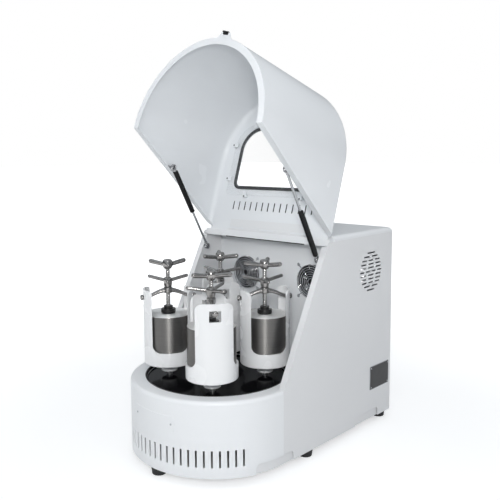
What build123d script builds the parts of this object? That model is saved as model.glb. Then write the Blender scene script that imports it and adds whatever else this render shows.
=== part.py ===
from build123d import *
import math
import os

os.makedirs("parts", exist_ok=True)

# Planetary ball mill with its hood swung open.
# Frame: +X right, +Y to the back, +Z up, millimetres. The origin lies on the floor
# under the middle of the footprint.

# ---- driving dimensions ----------------------------------------------------------
WIDTH = 470.0                    # over the side panels, and over the round front
DEPTH = 750.0                    # round front to rear panel
FOOT_HEIGHT = 20.0
FOOT_RADIUS = 20.0
FOOT_CHAMFER = 2.0
FOOT_FRONT_INSET = 21.0          # front foot, behind the round front
FOOT_SIDE_INSET = 22.0           # middle feet, in from the side panels
FOOT_MIDDLE_Y = -22.0
FOOT_REAR_INSET = (27.0, 22.0)   # rear feet, in from the side panels and the rear panel
DECK_LEVEL = 194.0               # top of the deck above the shell's lower edge
TOWER_LEVEL = 564.0              # top of the rear tower above the same edge
SHEET = 2.0                      # folded sheet steel
BASE_PLATE = 8.0
UPSTAND = 19.0                   # of the base plate's rim, up to the slots
BASE_PLAY = 0.5                  # between that rim and the casing
GAP = 0.3                        # between pieces that move past each other
RUNNING = 0.08                   # radial play of a shaft in its bearing

TABLE_RADIUS = 189.5             # spinning disc
TABLE_THICKNESS = 12.0
WELL_RADIUS = 193.0              # round opening of the deck
WELL_DEPTH = 8.0                 # deck top down to the disc

STATION_RADIUS = 131.25          # disc's axis to each station, which sets the gears' module
SUN_TEETH = 50
PLANET_TEETH = 25
GEAR_WIDTH = 16.0
GEAR_BACKLASH = 0.5
PRESSURE_ANGLE = 20.0

JAR_RADIUS = 62.5
JAR_BODY = 114.0
JAR_WALL = 6.0
JAR_COVER = 14.0
JAR_SPIGOT = 6.0                 # of the cover, into the pot
JAR_EDGE = 3.0
COVER_EDGE = 1.5
JAR_PLAY = 0.5                   # between jar and holder
HOLDER_WALL = 4.5
HOLDER_FLOOR = 8.0
HOLDER_EDGE = 4.0
HOLDER_LIFT = 28.0               # deck top up to the holder's floor
HOLDER_HEIGHT = 204.0
HOLDER_PHASE = 14.0              # turn of each clamp bar from the disc's radius, degrees
POST_ANGLE = 91.0                # arc that one post covers
WINDOW_SILL = 39.0               # holder's underside up to the window
WINDOW_CORNER = 20.0
HOLE_WIDTH = 30.0                # square hole that takes the clamp bar
HOLE_HEIGHT = 28.0
HOLE_TOP = 17.0                  # under the post's top
COLLAR_RADIUS = 22.0
COLLAR_HEIGHT = 25.0             # under the holder, down to just above the disc
COLLAR_EDGE = 1.5
SHAFT_SEAT = 10.0                # of the planet shaft, in the collar
PLANET_SHAFT_RADIUS = 8.0

SCREW_RADIUS = 6.0
SCREW_TRAVEL = 8.0
SCREW_LEAD = 4.0
STAR_ARMS = 3
STAR_REACH = 58.0
LOCK_REACH = 64.0
ARM_RISE = 9.0                   # of each arm's end over its root
PAD_RADIUS = 20.0
PAD_HEIGHT = 12.0
PAD_NECK_RADIUS = 12.5
PAD_NECK_HEIGHT = 8.0
BAR_WIDTH = 16.0
BAR_HEIGHT = 12.0
BAR_RISE = 20.0                  # of the bar's middle over its ends
BAR_HEAD_RADIUS = 7.8            # round heads outside the posts
BAR_HEAD = 7.0
BAR_HEAD_PLAY = 0.8              # from the post's outer face to the head
BAR_HUB_RADIUS = 11.5
BAR_HUB_HEIGHT = 16.0
BAR_EDGE = 2.0                   # of the hub's lower end

HINGE_Y = 62.0                   # lid axis, behind the origin
HINGE_DROP = 7.0                 # under the tower's top
LID_ANGLE = 108.0                # open as drawn
LID_GAP = 1.5
LID_EDGE_RADIUS = 16.0
RIM_WIDTH = 18.0                 # folded rim of the hood and of the side panels
SLOPE_FOOT_Y = -138.0            # where the side panels start to rise
SLOPE_HEAD_Y = 56.0              # where they meet the top
NOSE_Y = 55.0                    # front lip of the tower
NOSE_DROP = 26.0
REBATE = 21.0                    # channel behind the lip, for the hinge
CHAMBER_Y = 122.0                # back wall of the chamber
TOP_EDGE_RADIUS = 14.0

PIN_RADIUS = 2.0
KNUCKLE_RADIUS = 4.5
HINGE_HALF = 145.0
KNUCKLES = 5

STRUT_INSET = 24.5               # strut's axis, in from the panel's inner face
STRUT_BASE = (34.0, 504.0)       # y and height over the shell's lower edge
STRUT_LID = (-70.0, 345.0)       # the same for the pivot on the closed lid
TUBE_RADIUS = 7.5
TUBE_LENGTH = 154.0
ROD_RADIUS = 3.5
EYE_RADIUS = 9.0
EYE_WIDTH = 8.0
STUD_RADIUS = 4.0
STUD_FLANGE_RADIUS = 6.0
STUD_FLANGE = 3.0

WINDOW_INSET = 78.0              # window's edge, in from the hood's wall
WINDOW_FRONT = -252.0
WINDOW_REAR = -76.0
WINDOW_FRONT_RADIUS = 65.0
WINDOW_REAR_RADIUS = 14.0
GASKET_BAND = 10.0
GASKET_THICKNESS = 3.0
PANE_THICKNESS = 5.0
PANE_INSET = 48.0                # pane's edge, in from the hood's wall
PANE_FRONT = -270.0
PANE_REAR = -46.0
PANE_FRONT_RADIUS = 80.0

FAN_INSET = 108.0                # fan's axis, in from the panel's inner face
FAN_LEVEL = 420.0
FAN_SIZE = 110.0
FAN_BORE = 50.5
FAN_DEPTH = 25.0
FAN_BLADES = 7
GUARD_RINGS = 6
GUARD_WIRE = 2.2
GUARD_PITCH = 7.5

FRONT_SLOTS = 26
FRONT_SLOT_PITCH = 4.83          # degrees
FRONT_SLOT_WIDTH = 5.0
FRONT_SLOT_FOOT = 28.0
FRONT_SLOT_HEIGHT = 43.0
SIDE_VENT_Y = 259.0
SIDE_VENT_LEVEL = 445.0
SIDE_VENT_RADIUS = 60.0
SIDE_VENT_ROWS = (1, 2, 3, 3, 3, 4, 3, 3, 3, 2, 1)
SIDE_VENT_PITCH = 10.8
SIDE_SLOT_HEIGHT = 4.4
LID_SLOTS = 14
LID_SLOT_PITCH = 22.8
LID_SLOT_WIDTH = 4.0
LID_SLOT_FRONT = -28.0
LID_SLOT_REAR = -2.0
CUTOUT_HEIGHT = 26.0             # low openings in the casing, for carrying
CUTOUT_CORNER = 12.0
FRONT_CUTOUT_START = 21.7        # degrees in front of the half circle's end
FRONT_CUTOUT_REAR = 40.0         # behind the half circle's end
REAR_CUTOUT_FRONT = 185.0
REAR_CUTOUT_REAR = 306.0

MAIN_SHAFT_RADIUS = 17.5
MAIN_PULLEY_RADIUS = 60.0
MOTOR_PULLEY_RADIUS = 40.0
BELT_THICKNESS = 6.0
BELT_WIDTH = 20.0
MOTOR_Y = 235.0
MOTOR_RADIUS = 75.0
MOTOR_LENGTH = 200.0
MOTOR_SHAFT_RADIUS = 9.0
MOTOR_FINS = 12
FIN_REACH = 6.0
FIN_THICKNESS = 4.0
STANDOFF = 84.0                  # of the posts under each mounting plate, from its axis
POST_RADIUS = 12.0
MOUNT_PLATE = 12.0
HOUSING_RADIUS = 55.0

# ---- levels and places that follow -------------------------------------------------
R_FRONT = WIDTH / 2
FRONT_Y = -DEPTH / 2
REAR_Y = DEPTH / 2
AXIS_Y = FRONT_Y + R_FRONT       # turntable axis
SHELL_Z = FOOT_HEIGHT
DECK_Z = SHELL_Z + DECK_LEVEL
TOP_Z = SHELL_Z + TOWER_LEVEL
TABLE_TOP = DECK_Z - WELL_DEPTH
TABLE_FOOT = TABLE_TOP - TABLE_THICKNESS
HINGE_Z = TOP_Z - HINGE_DROP
MODULE = 2 * STATION_RADIUS / (SUN_TEETH + PLANET_TEETH)
HOLDER_RADIUS = JAR_RADIUS + JAR_PLAY + HOLDER_WALL
HOLDER_Z = DECK_Z + HOLDER_LIFT
POST_TOP = HOLDER_Z + HOLDER_HEIGHT
HOLE_Z = POST_TOP - HOLE_TOP - HOLE_HEIGHT
JAR_Z = HOLDER_Z + HOLDER_FLOOR
COVER_Z = JAR_Z + JAR_BODY
PAD_Z = COVER_Z + JAR_COVER
BAR_Z = POST_TOP - HOLE_TOP      # top of the bar's ends, under the hole's roof
BAR_HUB_TOP = BAR_Z + BAR_RISE
GEAR_Z = TABLE_FOOT - 20.0 - GEAR_WIDTH - 4.0
BASE_TOP = SHELL_Z + BASE_PLATE
PULLEY_Z = BASE_TOP + 10.0
CARRIER_Z = PULLEY_Z + BELT_WIDTH + 20.0
INNER_X = R_FRONT - SHEET
STRUT_X = INNER_X - STRUT_INSET
WINDOW_HALF = INNER_X - WINDOW_INSET
PANE_HALF = INNER_X - PANE_INSET
FAN_X = INNER_X - FAN_INSET

STATIONS = {"left": 219.2, "front": 309.2, "right": 39.2, "rear": 129.2}
STAR_TURN = {"left": -40.0, "front": 21.0, "right": 121.0, "rear": 138.0}
STAR_LEVEL = {"left": 50.0, "front": 44.0, "right": 50.0, "rear": 50.0}   # over the bar's hub
LOCK_TURN = {"left": -42.0, "front": 105.0, "right": -40.0, "rear": 62.0}

nodes = {}


# ---- small helpers -------------------------------------------------------------------
def at(x, y, z):
    return Location((x, y, z))


def rod(radius, height, x=0.0, y=0.0, z=0.0):
    """Upright cylinder that stands on z."""
    return at(x, y, z) * Cylinder(radius, height, align=(Align.CENTER, Align.CENTER, Align.MIN))


def ring(outer, inner, height, x=0.0, y=0.0, z=0.0):
    return rod(outer, height, x, y, z) - rod(inner, height, x, y, z)


def rod_x(radius, x_from, x_to, y, z):
    """Cylinder along X between two places."""
    plane = Plane(origin=(x_from, y, z), z_dir=(1, 0, 0))
    return extrude(plane * Circle(radius), x_to - x_from)


def block(x_from, x_to, y_from, y_to, z_from, z_to):
    size = (x_to - x_from, y_to - y_from, z_to - z_from)
    return at(x_from, y_from, z_from) * Box(*size, align=(Align.MIN,) * 3)


def side_profile(points, x_from, x_to):
    """Outline in the YZ plane, drawn out along X."""
    plane = Plane(origin=(x_from, 0, 0), x_dir=(0, 1, 0), z_dir=(1, 0, 0))
    face = plane * make_face(Polyline(*points, close=True))
    return extrude(face, x_to - x_from)


def d_outline(inset, y_to, wall_inset=None):
    """Plan outline of the machine's front: a half circle with straight sides back to y_to."""
    radius = R_FRONT - inset
    half = R_FRONT - (inset if wall_inset is None else wall_inset)
    disc = at(0, AXIS_Y, 0) * Circle(radius)
    front = disc & at(0, AXIS_Y - radius, 0) * Rectangle(2 * radius, 2 * radius)
    back = at(0, (AXIS_Y + y_to) / 2, 0) * Rectangle(2 * half, y_to - AXIS_Y)
    return front + back


def slope_y(z):
    """Front edge of the side panels at a height."""
    share = (z - DECK_Z) / (TOP_Z - DECK_Z)
    return SLOPE_FOOT_Y + share * (SLOPE_HEAD_Y - SLOPE_FOOT_Y)


def swing(shape, angle=-LID_ANGLE):
    """Turns a piece of the closed lid about the hinge."""
    return shape.rotate(Axis((0, HINGE_Y, HINGE_Z), (1, 0, 0)), angle)


def both_sides(shape):
    return Compound(children=[shape, mirror(shape, Plane.YZ)])


# ---- casing of the base ----------------------------------------------------------------
SKIRT = 14.0                     # turned-down rim of the deck
DECK_SHEET = 3.0
DECK_EDGE_RADIUS = 10.0


def low_opening(depth, y_from, y_to):
    """Cutter for a hand opening at the shell's lower edge, on the right."""
    opening = block(R_FRONT - depth, R_FRONT + SHEET, y_from, y_to,
                    SHELL_Z - SHEET, SHELL_Z + CUTOUT_HEIGHT)
    ends = opening.edges().filter_by(Axis.X).group_by(Axis.Z)[-1]
    return fillet(ends, CUTOUT_CORNER)


def front_cutout():
    """Opening that runs round from the front onto the side panel."""
    start = math.radians(FRONT_CUTOUT_START)
    depth = R_FRONT * (1 - math.cos(start)) + 2 * SHEET
    return low_opening(depth, AXIS_Y - R_FRONT * math.sin(start), AXIS_Y + FRONT_CUTOUT_REAR)


def rear_cutout():
    return low_opening(2 * SHEET, REAR_CUTOUT_FRONT, REAR_CUTOUT_REAR)


def front_shell():
    height = DECK_LEVEL - SKIRT
    band = ring(R_FRONT, INNER_X, height, 0, AXIS_Y, SHELL_Z)
    band &= block(-R_FRONT, R_FRONT, FRONT_Y, AXIS_Y, SHELL_Z, SHELL_Z + height)
    for index in range(FRONT_SLOTS):
        angle = -90 + (index - (FRONT_SLOTS - 1) / 2) * FRONT_SLOT_PITCH
        slot = block(INNER_X - 5, R_FRONT + 5, -FRONT_SLOT_WIDTH / 2, FRONT_SLOT_WIDTH / 2,
                     SHELL_Z + FRONT_SLOT_FOOT, SHELL_Z + FRONT_SLOT_FOOT + FRONT_SLOT_HEIGHT)
        band -= at(0, AXIS_Y, 0) * Rotation(0, 0, angle) * slot
    cutout = front_cutout()
    return band - cutout - mirror(cutout, Plane.YZ)


def vent_pattern():
    """Round field of short slots, in rows, as one set of cutters through the right panel."""
    cutters = []
    for row, count in enumerate(SIDE_VENT_ROWS):
        offset = (row - (len(SIDE_VENT_ROWS) - 1) / 2) * SIDE_VENT_PITCH
        pitch = 2 * math.sqrt(SIDE_VENT_RADIUS ** 2 - offset ** 2) / count
        z = SHELL_Z + SIDE_VENT_LEVEL + offset
        for column in range(count):
            y = SIDE_VENT_Y + (column - (count - 1) / 2) * pitch
            plane = Plane(origin=(INNER_X - SHEET, y, z), x_dir=(0, 1, 0), z_dir=(1, 0, 0))
            slot = plane * SlotOverall(0.75 * pitch, SIDE_SLOT_HEIGHT)
            cutters.append(extrude(slot, 3 * SHEET))
    return cutters


def side_panel():
    """Right-hand panel with its folded rim along the slope."""
    shoulder = TOP_Z - TOP_EDGE_RADIUS
    outline = [(AXIS_Y, SHELL_Z), (REAR_Y, SHELL_Z), (REAR_Y, shoulder),
               (slope_y(shoulder), shoulder), (SLOPE_FOOT_Y, DECK_Z), (AXIS_Y, DECK_Z)]
    panel = side_profile(outline, INNER_X, R_FRONT)
    rim_depth = SHEET / math.cos(math.atan2(SLOPE_HEAD_Y - SLOPE_FOOT_Y, TOP_Z - DECK_Z))
    rim_top = TOP_Z - NOSE_DROP - GAP
    rim = side_profile([(slope_y(DECK_Z), DECK_Z), (slope_y(rim_top), rim_top),
                        (slope_y(rim_top) + rim_depth, rim_top), (slope_y(DECK_Z) + rim_depth, DECK_Z)],
                       R_FRONT - RIM_WIDTH, INNER_X)
    panel = panel + rim - front_cutout() - rear_cutout()
    for cutter in vent_pattern():
        panel -= cutter
    return panel


def deck_plate():
    """Tray-shaped deck with a rounded front edge and the turntable well."""
    tray = rod(R_FRONT, SKIRT, 0, AXIS_Y, DECK_Z - SKIRT)
    tray = fillet(tray.edges().group_by(Axis.Z)[-1], DECK_EDGE_RADIUS)
    tray &= block(-R_FRONT, R_FRONT, FRONT_Y, AXIS_Y, DECK_Z - SKIRT, DECK_Z)
    tray += block(-INNER_X, INNER_X, AXIS_Y, CHAMBER_Y + SHEET, DECK_Z - SKIRT, DECK_Z)
    hollow = extrude(d_outline(DECK_SHEET, CHAMBER_Y - DECK_SHEET, DECK_SHEET + SHEET), SKIRT - DECK_SHEET)
    hollow = at(0, 0, DECK_Z - SKIRT) * hollow
    collar = ring(WELL_RADIUS + DECK_SHEET, WELL_RADIUS, SKIRT, 0, AXIS_Y, DECK_Z - SKIRT)
    well = rod(WELL_RADIUS, SKIRT, 0, AXIS_Y, DECK_Z - SKIRT)
    return tray - hollow + collar - well


def base_plate():
    """Thick floor plate with an upstand that backs the low openings."""
    inset = 2 * SHEET + BASE_PLAY
    tray = extrude(d_outline(inset, REAR_Y - inset), BASE_PLATE + UPSTAND)
    hollow = extrude(d_outline(inset + SHEET, REAR_Y - inset - SHEET), UPSTAND)
    return at(0, 0, SHELL_Z) * (tray - at(0, 0, BASE_PLATE) * hollow)


def feet():
    middle_x = R_FRONT - FOOT_SIDE_INSET
    rear_x = R_FRONT - FOOT_REAR_INSET[0]
    rear_y = REAR_Y - FOOT_REAR_INSET[1]
    places = [(0, FRONT_Y + FOOT_FRONT_INSET), (middle_x, FOOT_MIDDLE_Y), (-middle_x, FOOT_MIDDLE_Y),
              (rear_x, rear_y), (-rear_x, rear_y)]
    pads = []
    for x, y in places:
        pad = rod(FOOT_RADIUS, FOOT_HEIGHT, x, y, 0)
        pads.append(chamfer(pad.edges().group_by(Axis.Z)[0], FOOT_CHAMFER))
    return Compound(children=pads)


def tower_top():
    """Top sheet of the tower, with the hinge channel and front lip folded from it."""
    channel_y = NOSE_Y + REBATE
    cover = block(-R_FRONT, R_FRONT, channel_y, REAR_Y, TOP_Z - 3 * TOP_EDGE_RADIUS, TOP_Z)
    top_edges = cover.edges().group_by(Axis.Z)[-1]
    sides = top_edges.filter_by(Axis.Y) + top_edges.filter_by(Axis.X).sort_by(Axis.Y)[-1:]
    cover = fillet(sides, TOP_EDGE_RADIUS)
    inside = block(-INNER_X, INNER_X, channel_y, REAR_Y - SHEET, TOP_Z - 4 * TOP_EDGE_RADIUS, TOP_Z - SHEET)
    top_edges = inside.edges().group_by(Axis.Z)[-1]
    sides = top_edges.filter_by(Axis.Y) + top_edges.filter_by(Axis.X).sort_by(Axis.Y)[-1:]
    cover -= fillet(sides, TOP_EDGE_RADIUS - SHEET)
    cover -= block(-WIDTH, WIDTH, 0, DEPTH, 0, TOP_Z - TOP_EDGE_RADIUS)
    half = INNER_X
    floor_z = TOP_Z - NOSE_DROP
    channel = block(-half, half, channel_y, channel_y + SHEET, floor_z, TOP_Z - SHEET)
    ceiling = block(-half, half, NOSE_Y, CHAMBER_Y + SHEET, floor_z, floor_z + SHEET)
    lip = block(-half, half, NOSE_Y, NOSE_Y + SHEET, floor_z, HINGE_Z)
    return cover + channel + ceiling + lip


def chamber_wall():
    wall = block(-INNER_X, INNER_X, CHAMBER_Y, CHAMBER_Y + SHEET, DECK_Z, TOP_Z - NOSE_DROP)
    for x in (-FAN_X, FAN_X):
        bore = Plane(origin=(x, CHAMBER_Y - 1, SHELL_Z + FAN_LEVEL), z_dir=(0, 1, 0)) * Circle(FAN_BORE)
        wall -= extrude(bore, SHEET + 2)
    return wall


INLET_WIDTH = 48.0
INLET_HEIGHT = 28.0
INLET_DEPTH = 30.0
INLET_X = -150.0
INLET_Z = SHELL_Z + 80.0
SOCKET_WIDTH = 24.0
SOCKET_HEIGHT = 16.0
SOCKET_RECESS = 16.0
CONTACTS = [(-7.0, -2.0), (0.0, 2.0), (7.0, -2.0)]   # offset and rise of each blade
CONTACT_SIZE = (2.0, 12.0, 4.0)
REAR_VENTS = 6                   # slots in each column
REAR_VENT_X = 90.0
REAR_VENT_LENGTH = 100.0
REAR_VENT_HEIGHT = 6.0
REAR_VENT_PITCH = 18.0
REAR_VENT_LEVEL = 330.0


def centred_block(x, width, y_from, y_to, z, height):
    """Block centred on x and on z, between two places along Y."""
    return block(x - width / 2, x + width / 2, y_from, y_to, z - height / 2, z + height / 2)


def rear_panel():
    panel = block(-INNER_X, INNER_X, REAR_Y - SHEET, REAR_Y, SHELL_Z, TOP_Z - TOP_EDGE_RADIUS)
    for row in range(REAR_VENTS):
        z = SHELL_Z + REAR_VENT_LEVEL + row * REAR_VENT_PITCH
        for x in (-REAR_VENT_X, REAR_VENT_X):
            panel -= centred_block(x, REAR_VENT_LENGTH, REAR_Y - SHEET, REAR_Y, z, REAR_VENT_HEIGHT)
    return panel - centred_block(INLET_X, INLET_WIDTH, REAR_Y - SHEET, REAR_Y, INLET_Z, INLET_HEIGHT)


def mains_inlet():
    """Panel socket: a body through the panel, with a cavity and three blades."""
    floor = REAR_Y - SOCKET_RECESS
    body = centred_block(INLET_X, INLET_WIDTH, REAR_Y - INLET_DEPTH, REAR_Y, INLET_Z, INLET_HEIGHT)
    body -= centred_block(INLET_X, SOCKET_WIDTH, floor, REAR_Y, INLET_Z, SOCKET_HEIGHT)
    width, length, height = CONTACT_SIZE
    for offset, rise in CONTACTS:
        body += centred_block(INLET_X + offset, width, floor, floor + length, INLET_Z + rise, height)
    return body


# ---- drive under the deck -----------------------------------------------------------------
def gear_outline(teeth):
    """Involute tooth points, with the middle of the first tooth on +X."""
    pitch_r = MODULE * teeth / 2
    base_r = pitch_r * math.cos(math.radians(PRESSURE_ANGLE))
    root_r = pitch_r - 1.25 * MODULE
    tip_r = pitch_r + MODULE
    involute = math.tan(math.radians(PRESSURE_ANGLE)) - math.radians(PRESSURE_ANGLE)
    half_tooth = math.pi / (2 * teeth) - GEAR_BACKLASH / 4 / pitch_r

    def flank(radius):
        angle = math.acos(min(1.0, base_r / radius))
        return half_tooth + involute - (math.tan(angle) - angle)

    start = max(root_r, base_r)
    radii = [start, (start + tip_r) / 2, tip_r]
    points = []
    for tooth in range(teeth):
        middle = 2 * math.pi * tooth / teeth
        right = [(root_r, flank(start))] if root_r < base_r else []
        right += [(radius, flank(radius)) for radius in radii]
        for radius, angle in right:
            points.append((radius * math.cos(middle - angle), radius * math.sin(middle - angle)))
        for radius, angle in reversed(right):
            points.append((radius * math.cos(middle + angle), radius * math.sin(middle + angle)))
    return make_face(Polyline(*points, close=True))


def carrier(z, y):
    """Square mounting plate on four posts that stand on the base plate."""
    half = STANDOFF + POST_RADIUS
    plate = block(-half, half, y - half, y + half, z, z + MOUNT_PLATE)
    for x in (-STANDOFF, STANDOFF):
        for dy in (-STANDOFF, STANDOFF):
            plate += rod(POST_RADIUS, z - BASE_TOP, x, y + dy, BASE_TOP)
    return plate


def bearing_housing():
    """Main bearing housing with the fixed sun gear cut on its head."""
    body = carrier(CARRIER_Z, AXIS_Y)
    body += rod(HOUSING_RADIUS, GEAR_Z - CARRIER_Z, 0, AXIS_Y, CARRIER_Z)
    body += at(0, AXIS_Y, GEAR_Z) * extrude(gear_outline(SUN_TEETH), GEAR_WIDTH)
    bore = rod(MAIN_SHAFT_RADIUS + RUNNING, GEAR_Z + GEAR_WIDTH - CARRIER_Z, 0, AXIS_Y, CARRIER_Z)
    return body - bore


PULLEY_FLANGE = 3.0
PULLEY_PLAY = 1.0                # from the belt to each flange


def pulley(radius, bore, x, y):
    """Flanged belt pulley."""
    foot = PULLEY_Z - PULLEY_PLAY
    width = BELT_WIDTH + 2 * PULLEY_PLAY
    hub = rod(radius, width, x, y, foot)
    for z in (foot - PULLEY_FLANGE, foot + width):
        hub += rod(radius + BELT_THICKNESS, PULLEY_FLANGE, x, y, z)
    return hub - rod(bore, width + 2 * PULLEY_FLANGE, x, y, foot - PULLEY_FLANGE)


def main_shaft():
    foot = PULLEY_Z - 2 * PULLEY_FLANGE
    shaft = rod(MAIN_SHAFT_RADIUS, TABLE_FOOT - foot, 0, AXIS_Y, foot)
    return Compound(children=[shaft, pulley(MAIN_PULLEY_RADIUS, MAIN_SHAFT_RADIUS, 0, AXIS_Y)])


MOTOR_BEARING = 42.0             # depth of the motor's bore over its shaft


def drive_motor():
    """Motor that hangs its shaft down through the mounting plate."""
    seat = CARRIER_Z + MOUNT_PLATE
    can = rod(MOTOR_RADIUS, MOTOR_LENGTH, 0, MOTOR_Y, seat)
    can = chamfer(can.edges().group_by(Axis.Z)[-1], 2 * FIN_REACH)
    body = carrier(CARRIER_Z, MOTOR_Y) + can
    fin = block(MOTOR_RADIUS - SHEET, MOTOR_RADIUS + FIN_REACH, -FIN_THICKNESS / 2, FIN_THICKNESS / 2,
                seat + 5 * FIN_REACH, seat + MOTOR_LENGTH - 5 * FIN_REACH)
    for index in range(MOTOR_FINS):
        body += at(0, MOTOR_Y, 0) * Rotation(0, 0, index * 360 / MOTOR_FINS) * fin
    return body - rod(MOTOR_SHAFT_RADIUS + RUNNING, MOTOR_BEARING, 0, MOTOR_Y, CARRIER_Z)


def motor_pulley():
    foot = PULLEY_Z - 2 * PULLEY_FLANGE
    shaft = rod(MOTOR_SHAFT_RADIUS, CARRIER_Z + MOTOR_BEARING - SHEET - foot, 0, MOTOR_Y, foot)
    return Compound(children=[shaft, pulley(MOTOR_PULLEY_RADIUS, MOTOR_SHAFT_RADIUS, 0, MOTOR_Y)])


def belt_outline(extra):
    """Outline of a belt round the two pulleys."""
    big = at(0, AXIS_Y, 0) * Circle(MAIN_PULLEY_RADIUS + extra)
    small = at(0, MOTOR_Y, 0) * Circle(MOTOR_PULLEY_RADIUS + extra)
    return make_hull((big + small).edges())


def drive_belt():
    belt = extrude(belt_outline(BELT_THICKNESS), BELT_WIDTH - 2 * GAP)
    belt -= extrude(belt_outline(GAP), BELT_WIDTH - 2 * GAP)
    return at(0, 0, PULLEY_Z + GAP) * belt


# ---- turntable ---------------------------------------------------------------------------------
SHAFT_STUB = 3.0                 # of each planet shaft, under its gear
BOSS_RADIUS = 25.0
BOSS_DEPTH = 16.0
HUB_RADIUS = 45.0
DISC_EDGE = 1.5


def station_place(name):
    angle = math.radians(STATIONS[name])
    return STATION_RADIUS * math.cos(angle), AXIS_Y + STATION_RADIUS * math.sin(angle)


def turntable_disc():
    """Polished disc with a hub and four bearing bosses on its underside."""
    disc = rod(TABLE_RADIUS, TABLE_THICKNESS, 0, AXIS_Y, TABLE_FOOT)
    disc = chamfer(disc.edges().group_by(Axis.Z)[-1], DISC_EDGE)
    foot = TABLE_FOOT - BOSS_DEPTH
    disc += rod(HUB_RADIUS, BOSS_DEPTH, 0, AXIS_Y, foot)
    for name in STATIONS:
        x, y = station_place(name)
        disc += rod(BOSS_RADIUS, BOSS_DEPTH, x, y, foot)
        disc -= rod(PLANET_SHAFT_RADIUS + RUNNING, TABLE_TOP - foot, x, y, foot)
    return disc - rod(MAIN_SHAFT_RADIUS, BOSS_DEPTH, 0, AXIS_Y, foot)


def planet_drive(name):
    """Planet shaft with its gear, which runs round the fixed sun gear."""
    angle = STATIONS[name]
    sun_step = 360 / SUN_TEETH
    planet_step = 360 / PLANET_TEETH
    past_tooth = angle % sun_step
    turn = angle + 180 + past_tooth * SUN_TEETH / PLANET_TEETH + planet_step / 2
    gear = extrude(gear_outline(PLANET_TEETH), GEAR_WIDTH) - Cylinder(PLANET_SHAFT_RADIUS, 4 * GEAR_WIDTH)
    gear = at(0, 0, GEAR_Z) * Rotation(0, 0, turn) * gear
    foot = GEAR_Z - SHAFT_STUB
    shaft = rod(PLANET_SHAFT_RADIUS, HOLDER_Z - COLLAR_HEIGHT + SHAFT_SEAT - foot, 0, 0, foot)
    x, y = station_place(name)
    return at(x, y, 0) * Compound(children=[shaft, gear])


def holder():
    """Cup with two tall posts; its clamp bar lies along X."""
    inner = HOLDER_RADIUS - HOLDER_WALL
    cup = rod(HOLDER_RADIUS, HOLDER_HEIGHT, 0, 0, HOLDER_Z)
    cup = fillet(cup.edges().group_by(Axis.Z)[0], HOLDER_EDGE)
    cup -= rod(inner, HOLDER_HEIGHT, 0, 0, HOLDER_Z + HOLDER_FLOOR)
    window_half = HOLDER_RADIUS * math.cos(math.radians(POST_ANGLE / 2))
    sill = HOLDER_Z + WINDOW_SILL
    window = block(-window_half, window_half, -WIDTH, WIDTH, sill, POST_TOP + WINDOW_CORNER)
    window = fillet(window.edges().filter_by(Axis.Y).group_by(Axis.Z)[0], WINDOW_CORNER)
    post_half = HOLDER_RADIUS * math.sin(math.radians(POST_ANGLE / 2))
    shoulder = POST_TOP - 2 * WINDOW_CORNER
    keep = block(-WIDTH, WIDTH, -post_half, post_half, shoulder, POST_TOP)
    keep = fillet(keep.edges().filter_by(Axis.X).group_by(Axis.Z)[-1], WINDOW_CORNER)
    keep += block(-WIDTH, WIDTH, -WIDTH, WIDTH, 0, shoulder)
    hole = block(-WIDTH, WIDTH, -HOLE_WIDTH / 2, HOLE_WIDTH / 2, HOLE_Z, HOLE_Z + HOLE_HEIGHT)
    cup = ((cup - window) & keep) - hole
    collar = rod(COLLAR_RADIUS, COLLAR_HEIGHT, 0, 0, HOLDER_Z - COLLAR_HEIGHT)
    cup += chamfer(collar.edges().group_by(Axis.Z)[0], COLLAR_EDGE)
    return cup - rod(PLANET_SHAFT_RADIUS, SHAFT_SEAT, 0, 0, HOLDER_Z - COLLAR_HEIGHT)


def jar():
    """Milling jar: a pot and its cover, which sits in it with a spigot."""
    pot = rod(JAR_RADIUS, JAR_BODY, 0, 0, JAR_Z)
    pot = chamfer(pot.edges().group_by(Axis.Z)[0], JAR_EDGE)
    pot -= rod(JAR_RADIUS - JAR_WALL, JAR_BODY, 0, 0, JAR_Z + JAR_WALL)
    cover = rod(JAR_RADIUS, JAR_COVER, 0, 0, COVER_Z)
    cover = chamfer(cover.edges().group_by(Axis.Z)[-1], COVER_EDGE)
    cover += rod(JAR_RADIUS - JAR_WALL - GAP, JAR_SPIGOT, 0, 0, COVER_Z - JAR_SPIGOT)
    return Compound(children=[pot, cover])


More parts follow.
